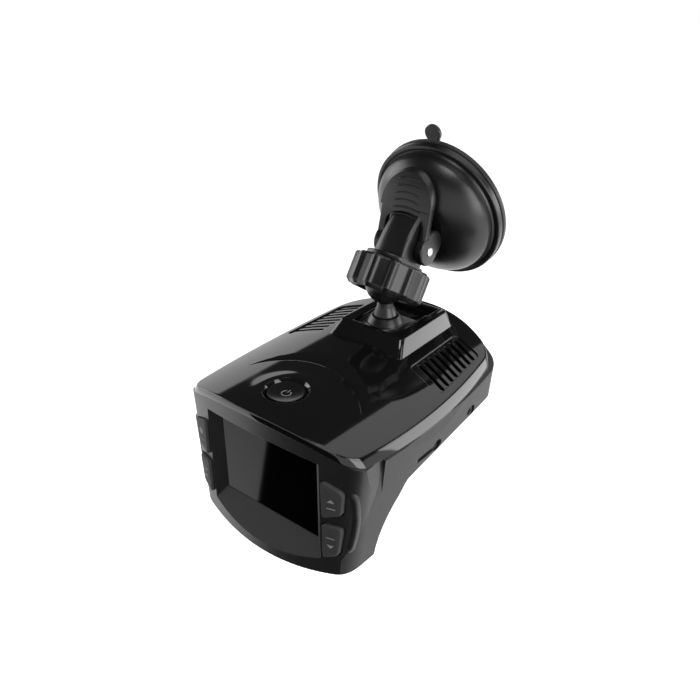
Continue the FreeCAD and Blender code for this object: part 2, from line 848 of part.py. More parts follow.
def slide_plate():
    low = pedestal_z - pocket_depth + plate_gap
    high = low + plate_thick
    half = pocket_half - plate_gap
    front = pocket_front + plate_gap
    plate = box(-half, half, front, front + plate_length, low, high)
    wide = half + pocket_groove
    rear = front + plate_length
    plate = plate.fuse(box(-wide, wide, rear - tongue_length, rear, low, low + tongue_height))
    collar = Part.makeCone(collar_low_radius, collar_top_radius, collar_height, V(0, ball_y, high), V(0, 0, 1))
    plate = plate.fuse(collar)
    plate = plate.cut(rod(stud_shank + running_gap, V(0, ball_y, low - 1), 10, V(0, 0, 1)))
    recess = stud_foot_height + 2 * running_gap
    return plate.cut(rod(stud_foot_radius + 0.1, V(0, ball_y, low - 1), 1 + recess, V(0, 0, 1)))


def ball_stud():
    low = pedestal_z - pocket_depth + plate_gap + running_gap
    shoulder = pedestal_z - pocket_depth + plate_gap + plate_thick + collar_height + running_gap
    neck_top = ball_z - ball_radius + 0.7
    foot = rod(stud_foot_radius, V(0, ball_y, low), stud_foot_height, V(0, 0, 1))
    shank = rod(stud_shank, V(0, ball_y, low), shoulder - low, V(0, 0, 1))
    neck = Part.makeCone(neck_low_radius, neck_top_radius, neck_top - shoulder, V(0, ball_y, shoulder),
                         V(0, 0, 1))
    ball = Part.makeSphere(ball_radius, V(0, ball_y, ball_z))
    return foot.fuse([shank, neck, ball]).removeSplitter()


def clamp_nut():
    profile = [(nut_mouth, nut_low), (nut_radius - 1.0, nut_low), (nut_radius, nut_low + 1.0),
               (nut_radius, nut_high - 0.8), (nut_radius - 0.8, nut_high),
               (socket_radius + running_gap, nut_high), (socket_radius + running_gap, nut_low + nut_lip + 0.7),
               (nut_mouth, nut_low + nut_lip - 1.6)]
    nut = turned(profile)
    radius = nut_radius * math.pi / nut_lobes * 0.42
    flutes = []
    for i in range(nut_lobes):
        turn = 2 * math.pi * (i + 0.5) / nut_lobes
        reach = nut_radius + radius - nut_valley
        place = V(reach * math.cos(turn), reach * math.sin(turn), nut_low - 1)
        flutes.append(rod(radius, place, nut_high - nut_low + 2, V(0, 0, 1)))
    return at_socket(nut.cut(flutes))


def oblong(width, height, y_shift):
    """A round-ended outline in local X and Y."""
    r = width / 2
    reach = max(height / 2 - r, 0.1)
    a, b = V(r, y_shift - reach, 0), V(r, y_shift + reach, 0)
    c, d = V(-r, y_shift + reach, 0), V(-r, y_shift - reach, 0)
    return Part.Wire([Part.makeLine(a, b), arc(b, V(0, y_shift + reach + r, 0), c), Part.makeLine(c, d),
                      arc(d, V(0, y_shift - reach - r, 0), a)])


def mount_arm():
    """Socket, arm and stem in one: the socket grips the ball and the stem is moulded in the disc."""
    grip = -1.2
    top = nut_high + 0.3
    socket = turned([(0, grip), (socket_radius - 1.2, grip), (socket_radius, grip + 1.6),
                     (socket_radius, top), (0, top)])
    collar = rod(socket_radius + 0.9, V(0, 0, top), 1.7, V(0, 0, 1))
    socket = socket.fuse(collar.common(box(-arm_half, arm_half, -far, far, 0, far)))
    socket = socket.cut(Part.makeSphere(ball_radius + running_gap))
    hollow = rod(5.0, V(0, 0, 0), ball_radius + 1.6, V(0, 0, 1))
    slits = [box(-0.5, 0.5, -far, far, -5, 3.0), box(-far, far, -0.5, 0.5, -5, 3.0)]
    low_wire = oblong(2 * arm_half, 2 * arm_half + 0.4, 0)
    low_wire.translate(V(0, 0, nut_high + 2.0))
    high_wire = oblong(2 * arm_half, arm_height, -1.0)
    high_wire.translate(V(0, 0, -dome_top - 0.4 - dome_travel))
    arm = Part.makeLoft([at_socket(low_wire), at_glass(high_wire)], True, True)
    stem = rod(stem_radius, V(0, 0, -dome_top - dome_travel - 1), dome_top + dome_travel - 3, V(0, 0, 1))
    foot = rod(stem_radius + 1.5, V(0, 0, -4.6), 1.6, V(0, 0, 1))
    knuckle = rod(ear_radius - 0.5, V(-arm_half, pin_drop, -pin_distance), 2 * arm_half, V(1, 0, 0))
    whole = at_socket(socket.cut(hollow).cut(slits)).fuse([arm, at_glass(stem), at_glass(foot)])
    whole = whole.fuse(at_glass(knuckle))
    bore = rod(pin_radius, V(-far, pin_drop, -pin_distance), 2 * far, V(1, 0, 0))
    return whole.cut(at_glass(bore))


def lever_pin():
    half = lever_half + 0.3
    pin = rod(pin_radius - 0.02, V(-half, pin_drop, -pin_distance), 2 * half, V(1, 0, 0))
    return at_glass(pin)


def lever():
    """Cam lever: two legs either side of the arm and a thumb pad, closed against the mount."""
    y, z = pin_drop, -pin_distance
    ear = rod(ear_radius, V(-lever_half, y, z), 2 * lever_half, V(1, 0, 0))
    nose = rod(3.0, V(-lever_half, y - 2.0, z + cam_reach - 3.0), 2 * lever_half, V(1, 0, 0))
    blend = across([(y - 5.0, z + cam_reach - 3.0), (y - 2.0 + 2.4, z + cam_reach - 1.2),
                    (y + ear_radius * 0.8, z + ear_radius * 0.6), (y, z), (y - 5.2, z + 2.3)], lever_half)
    side = [(y - 2, z - 5.0), (-8.0, -26.0), (-14.0, -23.2), (-25.4, -16.4), (-25.4 + 0.6, -13.2),
            (-13.0, -19.8), (-7.0, -22.4), (y - 4, z + 5.0)]
    body = across(side, lever_half)
    whole = ear.fuse([nose, blend, body])
    outline = rod(lever_half, V(0, -14.6, -far), 2 * far, V(0, 0, 1))
    outline = outline.fuse(box(-lever_half, lever_half, -14.6, far, -far, far))
    whole = whole.common(outline)
    inner = lever_half - lever_leg
    gap = box(-inner, inner, -9.4, far, -far, far)
    arch = Part.makeCylinder(1.0, 2 * far, V(0, 0, -far), V(0, 0, 1))
    stretch = FreeCAD.Matrix()
    stretch.scale(inner, 4.0, 1.0)
    arch = arch.transformGeometry(stretch)
    arch.translate(V(0, -9.4, 0))
    bore = rod(pin_radius + running_gap, V(-far, y, z), 2 * far, V(1, 0, 0))
    return at_glass(whole.cut(gap).cut(arch).cut(bore))


def suction_dome():
    rim = -disc_rim - dome_gap
    top = -dome_top
    outside = [(dome_radius, rim), (dome_radius, rim - dome_band), (dome_radius - 2.2, rim - dome_band - 0.9),
               (25.2, -8.6), (22.4, -12.0), (18.4, -15.2), (14.6, -17.2), (dome_top_radius, top)]
    inside = [(dome_top_radius - 1.0, top + dome_wall), (13.8, -15.2), (17.4, -13.2), (20.9, -10.4),
              (23.3, -7.6), (24.0, -5.2), (dome_radius - 2.0, -5.0), (dome_radius - 2.0, rim)]
    bore = stem_radius + running_gap
    shell = turned(outside + [(bore, top), (bore, top + 6.0), (bore + 2.0, top + 6.0),
                              (bore + 2.0, top + dome_wall)] + inside)
    return at_glass(shell)


def suction_disc():
    edge = disc_radius
    disc = turned([(0, -chamber_depth), (chamber_radius, -chamber_depth), (chamber_radius + 2.0, 0),
                   (edge - 0.4, 0), (edge, -0.6), (edge, -disc_rim + 0.3), (edge - 0.4, -disc_rim),
                   (20.0, -disc_rim - 0.4), (hub_radius, -disc_rim - 1.6), (hub_radius, -hub_height),
                   (0, -hub_height)])
    stem = rod(stem_radius + 0.02, V(0, 0, -far), far - 4.6, V(0, 0, 1))
    foot = rod(stem_radius + 1.52, V(0, 0, -4.6), 1.62, V(0, 0, 1))
    head = tab_reach - tab_head_radius
    tab = rod(tab_head_radius, V(0, -head, -disc_rim + 0.3), tab_thick, V(0, 0, 1))
    neck = box(-tab_neck_half, tab_neck_half, -head, -disc_radius + 2, -disc_rim + 0.3,
               -disc_rim + 0.3 + tab_thick)
    return at_glass(disc.cut([stem, foot]).fuse([tab, neck]))


panel_back = window_thick + 3.2
front_board_y = panel_back + 2.0
switch_board_z = crown_z - 0.3 - button_height - button_travel - 0.1 - 3.4

pieces = {
    "top_cover": top_cover, "lower_housing": lower_housing, "front_bezel": front_bezel,
    "display_window": display_window, "rear_window": rear_window, "housing_screws": housing_screws,
    "power_button": power_button, "power_switch": power_switch, "button_board": button_board,
    "key_switches": key_switches, "display_panel": display_panel, "display_frame": display_frame,
    "front_board": front_board, "main_board": main_board, "processor": processor,
    "heat_sink": heat_sink, "gps_antenna": gps_antenna, "card_socket": card_socket,
    "power_jack": power_jack, "horn_antenna": horn_antenna, "mixer_board": mixer_board,
    "mixer_shield": mixer_shield, "camera_barrel": camera_barrel, "camera_lens": camera_lens,
    "camera_board": camera_board, "laser_lens": laser_lens, "laser_sensor": laser_sensor,
    "speaker": speaker, "battery": battery, "slide_plate": slide_plate, "ball_stud": ball_stud,
    "clamp_nut": clamp_nut, "mount_arm": mount_arm, "lever_pin": lever_pin, "lever": lever,
    "suction_dome": suction_dome, "suction_disc": suction_disc}

for node, make in pieces.items():
    save(make(), node)

right_keys = {"key_up": key(upper_key), "key_down": key(lower_key)}
left_keys = {"key_record": mirrored(right_keys["key_up"]), "key_mode": mirrored(right_keys["key_down"])}
for node, shape in list(right_keys.items()) + list(left_keys.items()):
    save(shape, node)
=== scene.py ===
import json
import math

import bmesh
import bpy
from mathutils import Matrix, Vector


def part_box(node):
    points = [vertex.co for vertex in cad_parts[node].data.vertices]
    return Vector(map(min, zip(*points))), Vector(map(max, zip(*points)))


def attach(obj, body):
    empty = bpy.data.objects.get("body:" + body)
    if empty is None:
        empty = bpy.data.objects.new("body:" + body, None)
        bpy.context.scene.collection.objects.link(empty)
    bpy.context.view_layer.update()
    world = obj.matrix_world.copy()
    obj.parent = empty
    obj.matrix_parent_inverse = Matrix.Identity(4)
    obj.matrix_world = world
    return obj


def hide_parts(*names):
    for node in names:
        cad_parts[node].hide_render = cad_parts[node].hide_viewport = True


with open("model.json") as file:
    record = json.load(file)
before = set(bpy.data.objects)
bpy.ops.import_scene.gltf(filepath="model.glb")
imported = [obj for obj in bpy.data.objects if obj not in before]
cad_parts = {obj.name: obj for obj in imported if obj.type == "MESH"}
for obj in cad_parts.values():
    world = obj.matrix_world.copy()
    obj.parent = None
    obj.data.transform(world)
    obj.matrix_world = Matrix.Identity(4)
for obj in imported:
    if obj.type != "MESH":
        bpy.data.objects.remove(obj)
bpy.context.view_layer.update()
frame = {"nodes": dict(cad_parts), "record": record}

# Shapes are drawn in millimetres, with the display window at y = 0 and the axis of the housing at x = 0.
# home is where that drawing's zero lies in the frame, in metres.
mm = 0.001
pedestalHigh = 59.1
home = Vector((0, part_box("display_window")[0][1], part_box("top_cover")[1][2] - pedestalHigh * mm))
glassTilt = math.radians(15.7)
socketLean = math.radians(35.0)
ballCentre = Vector((0, 67.4, 74.8))
discMiddle = Vector((0, 104.5, 95.6))
print("frame loaded,", len(frame["nodes"]), "nodes")


# Finishes, one for each material slot of the record

def newFinish(name):
    finish = bpy.data.materials.new(name)
    finish.use_nodes = True
    tree = finish.node_tree
    return finish, tree, tree.nodes["Principled BSDF"]


def addNode(tree, kind, **inputs):
    node = tree.nodes.new(kind)
    for key, value in inputs.items():
        node.inputs[key.replace("_", " ")].default_value = value
    return node


def mouldedFinish(name, colour, roughness, grain, grainSize=0.0004, specular=0.5, edge=0.00025,
                  coat=0.0, metallic=0.0, drift=0.05, sheen=0.0):
    # fine grain in the relief, slow drift in colour and roughness, softly broken edges
    finish, tree, shader = newFinish(name)
    where = tree.nodes.new("ShaderNodeTexCoord")
    fine = addNode(tree, "ShaderNodeTexNoise", Scale=1 / grainSize, Detail=4.0, Roughness=0.6)
    slow = addNode(tree, "ShaderNodeTexNoise", Scale=45.0, Detail=3.0, Roughness=0.55)
    for texture in (fine, slow):
        tree.links.new(where.outputs["Object"], texture.inputs["Vector"])
    tint = tree.nodes.new("ShaderNodeValToRGB")
    tint.color_ramp.elements[0].position = 0.3
    tint.color_ramp.elements[1].position = 0.7
    tint.color_ramp.elements[0].color = [c * (1 - 2 * drift) for c in colour] + [1]
    tint.color_ramp.elements[1].color = [min(1, c * (1 + 2 * drift)) for c in colour] + [1]
    tree.links.new(slow.outputs["Fac"], tint.inputs["Fac"])
    tree.links.new(tint.outputs["Color"], shader.inputs["Base Color"])
    rough = addNode(tree, "ShaderNodeMapRange")
    rough.inputs["To Min"].default_value = max(0.02, roughness * (1 - 2.5 * drift))
    rough.inputs["To Max"].default_value = min(1, roughness * (1 + 2.5 * drift))
    tree.links.new(slow.outputs["Fac"], rough.inputs["Value"])
    tree.links.new(rough.outputs["Result"], shader.inputs["Roughness"])
    relief = addNode(tree, "ShaderNodeBump", Strength=grain, Distance=0.00005)
    tree.links.new(fine.outputs["Fac"], relief.inputs["Height"])
    if edge:
        soft = addNode(tree, "ShaderNodeBevel", Radius=edge)
        soft.samples = 4
        tree.links.new(soft.outputs["Normal"], relief.inputs["Normal"])
    tree.links.new(relief.outputs["Normal"], shader.inputs["Normal"])
    shader.inputs["Specular IOR Level"].default_value = specular
    shader.inputs["Metallic"].default_value = metallic
    shader.inputs["Coat Weight"].default_value = coat
    shader.inputs["Coat Roughness"].default_value = 0.03
    shader.inputs["Sheen Weight"].default_value = sheen
    return finish


def boardFinish():
    # green solder mask with paler copper lanes under it
    finish, tree, shader = newFinish("solderMask")
    where = tree.nodes.new("ShaderNodeTexCoord")
    lanes = addNode(tree, "ShaderNodeTexBrick", Scale=260.0, Mortar_Size=0.06)
    lanes.inputs["Color1"].default_value = (0.010, 0.085, 0.035, 1)
    lanes.inputs["Color2"].default_value = (0.012, 0.105, 0.045, 1)
    lanes.inputs["Mortar"].default_value = (0.035, 0.19, 0.075, 1)
    tree.links.new(where.outputs["Object"], lanes.inputs["Vector"])
    tree.links.new(lanes.outputs["Color"], shader.inputs["Base Color"])
    relief = addNode(tree, "ShaderNodeBump", Strength=0.3, Distance=0.00003)
    tree.links.new(lanes.outputs["Fac"], relief.inputs["Height"])
    tree.links.new(relief.outputs["Normal"], shader.inputs["Normal"])
    shader.inputs["Roughness"].default_value = 0.32
    return finish


finishes = {
    "gloss_shell": mouldedFinish("glossCover", (0.006, 0.006, 0.0065), 0.05, 0.02, 0.0009, 0.6, 0.00035),
    "housing_plastic": mouldedFinish("grainedHousing", (0.020, 0.020, 0.021), 0.55, 0.9, 0.00022, 0.45),
    "bezel_plastic": mouldedFinish("satinBezel", (0.011, 0.011, 0.0115), 0.36, 0.25, 0.00025, 0.45),
    "window": mouldedFinish("smokedWindow", (0.0015, 0.0015, 0.002), 0.04, 0.01, 0.002, 0.16, 0),
    "screw_steel": mouldedFinish("zincScrew", (0.42, 0.42, 0.44), 0.34, 0.5, 0.0003, metallic=1.0),
    "button_plastic": mouldedFinish("satinButton", (0.008, 0.008, 0.0085), 0.24, 0.2, 0.0002, 0.5),
    "switch_plastic": mouldedFinish("switchBody", (0.03, 0.03, 0.033), 0.45, 0.4),
    "circuit_board": boardFinish(),
    "display_glass": mouldedFinish("panelGlass", (0.05, 0.055, 0.065), 0.12, 0.05, coat=0.5),
    "shield_metal": mouldedFinish("tinnedShield", (0.55, 0.55, 0.53), 0.28, 0.5, 0.0006, metallic=1.0),
    "heat_sink": mouldedFinish("blackAnodised", (0.045, 0.046, 0.05), 0.4, 0.6, 0.0004, metallic=0.7),
    "ceramic": mouldedFinish("ceramicPatch", (0.42, 0.37, 0.29), 0.5, 0.6),
    "cast_horn": mouldedFinish("castZinc", (0.38, 0.38, 0.39), 0.46, 0.9, 0.0007, metallic=1.0),
    "lens_glass": mouldedFinish("coatedLens", (0.01, 0.012, 0.022), 0.03, 0.0, coat=1.0),
    "lens_plastic": mouldedFinish("laserWindow", (0.035, 0.004, 0.006), 0.07, 0.02, coat=0.6),
    "speaker_frame": mouldedFinish("speakerFrame", (0.05, 0.05, 0.052), 0.5, 0.7),
    "battery_wrap": mouldedFinish("batteryWrap", (0.03, 0.055, 0.12), 0.36, 0.3, 0.0008),
    "mount_plastic": mouldedFinish("satinMount", (0.0065, 0.0065, 0.007), 0.33, 0.12, 0.0002, 0.55, 0.0003),
    "pin_steel": mouldedFinish("turnedPin", (0.72, 0.72, 0.71), 0.3, 0.3, 0.0002, metallic=1.0),
    "disc_rubber": mouldedFinish("softDisc", (0.011, 0.011, 0.0115), 0.42, 0.4, 0.0003, 0.4, sheen=0.1),
    "key_rubber": mouldedFinish("keyRubber", (0.036, 0.036, 0.037), 0.6, 0.8, 0.0002, 0.35, 0.0003),
}
markPaint = mouldedFinish("markPaint", (0.27, 0.27, 0.28), 0.55, 0.4, 0.0002, edge=0)

slotOf = {part["node"]: part["material_slot"] for part in frame["record"]["subparts"]}
for node, cadObject in frame["nodes"].items():
    cadObject.data.materials.clear()
    cadObject.data.materials.append(finishes[slotOf[node]])
print("finishes made,", len(finishes))


# Shaping helpers, all in the drawing's millimetres

def toFrame(point):
    return home + Vector(point) * mm


def atGlass(point):
    # x across, y down the glass, z towards the glass, from the middle of the suction disc's face
    x, y, z = point
    c, s = math.cos(glassTilt), math.sin(glassTilt)
    return Vector((x, y * s + z * c, -y * c + z * s)) + discMiddle


def atSocket(point):
    # z up the socket from the middle of the ball
    x, y, z = point
    c, s = math.cos(socketLean), math.sin(socketLean)
    return ballCentre + Vector((x, y * c + z * s, -y * s + z * c))


def meshObject(name, points, faces, angle=35, move=None):
    move = move or (lambda p: p)
    mesh = bpy.data.meshes.new(name)
    mesh.from_pydata([toFrame(move(p)) for p in points], [], faces)
    work = bmesh.new()
    work.from_mesh(mesh)
    bmesh.ops.remove_doubles(work, verts=work.verts, dist=1e-7)
    bmesh.ops.dissolve_degenerate(work, edges=work.edges, dist=1e-7)
    bmesh.ops.recalc_face_normals(work, faces=work.faces)
    work.to_mesh(mesh)
    work.free()
    thing = bpy.data.objects.new(name, mesh)
    bpy.context.collection.objects.link(thing)
    smooth(thing, angle)
    return thing


def smooth(thing, angle=35):
    thing.data.shade_smooth()
    thing.data.set_sharp_from_angle(angle=math.radians(angle))


def applyModifier(thing, modifier):
    graph = bpy.context.evaluated_depsgraph_get()
    made = bpy.data.meshes.new_from_object(thing.evaluated_get(graph))
    thing.modifiers.remove(modifier)
    thing.data = made


def combine(thing, tool, how):
    # one solid cut from, added to or kept within another
    cutter = thing.modifiers.new(how, "BOOLEAN")
    cutter.operation = how
    cutter.solver = "EXACT"
    cutter.object = tool
    applyModifier(thing, cutter)
    bpy.data.objects.remove(tool)
    return thing


def softenEdges(thing, width, angle=35, segments=2):
    edge = thing.modifiers.new("edge", "BEVEL")
    edge.width = width * mm
    edge.segments = segments
    edge.limit_method = "ANGLE"
    edge.angle_limit = math.radians(angle)
    edge.use_clamp_overlap = True
    applyModifier(thing, edge)
    smooth(thing, angle)
    return thing


def finishPiece(thing, body, nodes=(), slot=None, finish=None):
    thing.data.materials.clear()
    thing.data.materials.append(finish or finishes[slot])
    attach(thing, body)
    if nodes:
        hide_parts(*nodes)
    return thing


def bridgeRings(rings, capFirst=True, capLast=True):
    # closed rings of equal length, joined into a skin
    points = [p for ring in rings for p in ring]
    count = len(rings[0])
    faces = []
    for k in range(len(rings) - 1):
        for i in range(count):
            j = (i + 1) % count
            faces.append((k * count + i, k * count + j, (k + 1) * count + j, (k + 1) * count + i))
    if capFirst:
        faces.append(tuple(range(count)))
    if capLast:
        faces.append(tuple(range((len(rings) - 1) * count, len(rings) * count)))
    return points, faces


def roundCorners(corners, radii, steps=5):
    # each corner of a closed outline becomes a run of points on an arc of that radius
    made = []
    count = len(corners)
    for i, corner in enumerate(corners):
        here = Vector(corner)
        before = Vector(corners[i - 1]) - here
        after = Vector(corners[(i + 1) % count]) - here
        radius = radii[i] if hasattr(radii, "__len__") else radii
        if radius <= 0:
            made.append(tuple(here))
            continue
        half = before.angle(after) / 2
        reach = min(radius / math.tan(half), 0.49 * before.length, 0.49 * after.length)
        start = here + before.normalized() * reach
        end = here + after.normalized() * reach
        for k in range(steps + 1):
            t = k / steps
            made.append(tuple(start * (1 - t) ** 2 + here * 2 * t * (1 - t) + end * t * t))
    return made


def spin(name, profile, rounds=0.3, around=96, move=None, angle=35, reach=None):
    # a turned piece from (radius, height) corners; reach may change the radius with the angle
    outline = roundCorners(profile, rounds)
    rings = []
    for k in range(around):
        turn = 2 * math.pi * k / around
        ring = []
        for r, z in outline:
            r = reach(r, z, turn) if reach else r
            ring.append((r * math.cos(turn), r * math.sin(turn), z))
        rings.append(ring)
    rings.append(rings[0])
    points, faces = bridgeRings(rings, False, False)
    return meshObject(name, points, faces, angle, move)


def shiftedBy(y):
    # a turned piece's place along the housing
    return lambda p: Vector((p[0], p[1] + y, p[2]))


def prism(name, rings, move=None, angle=35):
    points, faces = bridgeRings(rings)
    return meshObject(name, points, faces, angle, move)


def sheetSolid(name, outline, spine, ringCount, lowZ, highZ):
    # a closed slab between two surfaces, with rings that run in from its outline to a middle line
    def ringAt(share, level):
        ring = []
        for x, y in outline:
            sx, sy = spine(x, y)
            px, py = x + (sx - x) * share, y + (sy - y) * share
            ring.append((px, py, level(px, py)))
        return ring
    shares = [0.96 * k / ringCount for k in range(ringCount + 1)]
    low = [ringAt(share, lowZ) for share in reversed(shares)]
    high = [ringAt(share, highZ) for share in shares]
    points, faces = bridgeRings(low + high)
    return meshObject(name, points, faces)


# Camera and studio, in metres of the frame

cameraSetup = {"lens": 39.69, "place": (156.465, -150.67, 195.795), "azimuth": 38.587, "elevation": 29.264}
camera = bpy.data.objects.new("camera", bpy.data.cameras.new("camera"))
bpy.context.collection.objects.link(camera)
camera.data.lens = cameraSetup["lens"]
camera.data.sensor_width = 36
camera.data.clip_start = 0.01
camera.location = toFrame(cameraSetup["place"])
aim = Matrix.Rotation(math.radians(cameraSetup["azimuth"]), 4, "Z")
aim = aim @ Matrix.Rotation(math.radians(90 - cameraSetup["elevation"]), 4, "X")
camera.rotation_euler = aim.to_euler()
bpy.context.scene.camera = camera

studio = {"floor": -0.42, "floorHalf": 4.5, "floorColour": (0.82, 0.82, 0.82), "lift": 0.95,
          "flagLevel": -0.40, "flagColour": (0.004, 0.004, 0.004),
          "flag": [(-0.553, -0.693), (-0.145, -0.189), (0.60, -0.189), (0.60, -1.1), (-0.553, -1.1)]}


def stageCard(name, corners, level, colour):
    # a flat matt card, lit by the lamps, that also shows in the gloss
    mesh = bpy.data.meshes.new(name)
    mesh.from_pydata([(x, y, level) for x, y in corners], [], [tuple(range(len(corners)))])
    card = bpy.data.objects.new(name, mesh)
    bpy.context.collection.objects.link(card)
    finish, tree, shader = newFinish(name)
    shader.inputs["Base Color"].default_value = (*colour, 1)
    shader.inputs["Roughness"].default_value = 1.0
    shader.inputs["Specular IOR Level"].default_value = 0.0
    mesh.materials.append(finish)
    return card, tree, shader


def mathNode(tree, operation, first, second):
    # each input is a socket or a number
    node = tree.nodes.new("ShaderNodeMath")
    node.operation = operation
    for socket, value in zip(node.inputs, (first, second)):
        if isinstance(value, (int, float)):
            socket.default_value = value
        else:
            tree.links.new(value, socket)
    return node.outputs[0]


def lamp(name, place, size, height, power):
    light = bpy.data.lights.new(name, "AREA")
    light.shape = "RECTANGLE"
    light.size = size
    light.size_y = height
    light.energy = power
    thing = bpy.data.objects.new(name, light)
    thing.location = place
    thing.rotation_euler = (lampTarget - Vector(place)).to_track_quat("-Z", "Y").to_euler()
    bpy.context.collection.objects.link(thing)


reach = studio["floorHalf"]
square = [(-reach, reach), (reach, reach), (reach, -reach), (-reach, -reach)]
floorTree, floorShader = stageCard("floor", square, studio["floor"], studio["floorColour"])[1:]
path = floorTree.nodes.new("ShaderNodeLightPath")
seen = mathNode(floorTree, "MAXIMUM", path.outputs["Is Camera Ray"], path.outputs["Is Transmission Ray"])
seen = mathNode(floorTree, "MAXIMUM", seen, path.outputs["Is Glossy Ray"])
lift = mathNode(floorTree, "MULTIPLY", seen, studio["lift"])
floorTree.links.new(lift, floorShader.inputs["Emission Strength"])
floorShader.inputs["Emission Color"].default_value = (1, 1, 1, 1)

# a dark flag lies low in front, so that the window and the bezel mirror something dark
flagCard = stageCard("darkFlag", studio["flag"], studio["flagLevel"], studio["flagColour"])[0]
flagCard.visible_camera = False
flagCard.visible_shadow = False

lampTarget = Vector((0, -0.05, -0.05))
lamps = {       # place, width, height, power
    "overheadSoftbox": ((0.27, 0.60, 0.95), 0.9, 0.8, 2.6),
    "rightSoftbox": ((1.25, -0.25, 0.35), 0.9, 1.1, 13.0),
    "leftSoftbox": ((-1.25, -0.25, 0.30), 0.9, 0.7, 5.0),
    "rearRightSoftbox": ((0.85, 0.95, 0.12), 0.8, 0.5, 4.5),
    "topFill": ((0.25, -0.45, 1.15), 0.5, 0.5, 5.0),
}
for name, settings in lamps.items():
    lamp(name, *settings)

world = bpy.data.worlds.new("studioWorld")
bpy.context.scene.world = world
world.use_nodes = True
air = world.node_tree
background = air.nodes["Background"]
direction = air.nodes.new("ShaderNodeTexCoord")
split = air.nodes.new("ShaderNodeSeparateXYZ")
air.links.new(direction.outputs["Generated"], split.inputs["Vector"])
ceiling = air.nodes.new("ShaderNodeValToRGB")
ceiling.color_ramp.interpolation = "LINEAR"
backdropTop = 0.26                  # the gloss shows the white backdrop up to this height
ceilingSteps = [(0.0, 0.30), (0.16, 1.0), (0.25, 0.92), (0.28, 0.045), (1.0, 0.045)]
while len(ceiling.color_ramp.elements) < len(ceilingSteps):
    ceiling.color_ramp.elements.new(0.5)
for element, (at, grey) in zip(ceiling.color_ramp.elements, ceilingSteps):
    element.position = at
    element.color = (grey, grey, grey, 1)
air.links.new(split.outputs["Z"], ceiling.inputs["Fac"])
rays = air.nodes.new("ShaderNodeLightPath")
seen = mathNode(air, "MAXIMUM", rays.outputs["Is Camera Ray"], rays.outputs["Is Transmission Ray"])
low = mathNode(air, "LESS_THAN", split.outputs["Z"], backdropTop)
mirrored = mathNode(air, "MULTIPLY", rays.outputs["Is Glossy Ray"], low)
choose = air.nodes.new("ShaderNodeMix")
choose.data_type = "RGBA"
choose.inputs["B"].default_value = (1, 1, 1, 1)
air.links.new(mathNode(air, "MAXIMUM", seen, mirrored), choose.inputs["Factor"])
air.links.new(ceiling.outputs["Color"], choose.inputs["A"])
air.links.new(choose.outputs["Result"], background.inputs["Color"])
bpy.context.scene.view_settings.view_transform = "Standard"
print("studio set")


# The cover: a bowed gloss shell with its pedestal, pocket, well, scoop and vents

crown = {"top": 54.7, "radius": 103.0, "thick": 2.6, "softTop": 0.5, "softLip": 0.25}
plan = {"half": 42.6, "lipZ": 42.7, "front": -6.4, "rear": 99.6, "frontBow": 106.0, "rearBow": 66.0,
        "widestY": 34.0, "frontIn": 2.3, "rearIn": 3.2, "frontRound": 8.0, "rearRound": 12.0,
        "sideLean": 0.68, "frontLean": 0.10, "rearLean": 0.06, "low": 38.0, "high": 58.0}


def crownZ(x, drop=0.0):
    return crown["top"] - drop - crown["radius"] + math.sqrt(crown["radius"] ** 2 - min(abs(x), 90) ** 2)


def circleThrough(a, b, c):
    ax, ay, bx, by, cx, cy = *a, *b, *c
    d = 2 * (ax * (by - cy) + bx * (cy - ay) + cx * (ay - by))
    aa, bb, cc = ax * ax + ay * ay, bx * bx + by * by, cx * cx + cy * cy
    ux = (aa * (by - cy) + bb * (cy - ay) + cc * (ay - by)) / d
    uy = (aa * (cx - bx) + bb * (ax - cx) + cc * (bx - ax)) / d
    return Vector((ux, uy)), math.hypot(ax - ux, ay - uy)


def centreOfRound(c1, r1, c2, r2, near):
    # where circles of radius r1 and r2 meet, on the side of near
    gap = c2 - c1
    d = gap.length
    a = (r1 * r1 - r2 * r2 + d * d) / (2 * d)
    h = math.sqrt(max(0, r1 * r1 - a * a))
    foot = c1 + gap * (a / d)
    side = Vector((-gap.y, gap.x)) / d * h
    return min((foot + side, foot - side), key=lambda p: (p - near).length)


def arcBetween(centre, radius, start, end, steps):
    a = math.atan2(start.y - centre.y, start.x - centre.x)
    b = math.atan2(end.y - centre.y, end.x - centre.x)
    while b < a:
        b += 2 * math.pi
    return [centre + Vector((math.cos(a + (b - a) * k / steps), math.sin(a + (b - a) * k / steps))) * radius
            for k in range(steps)]


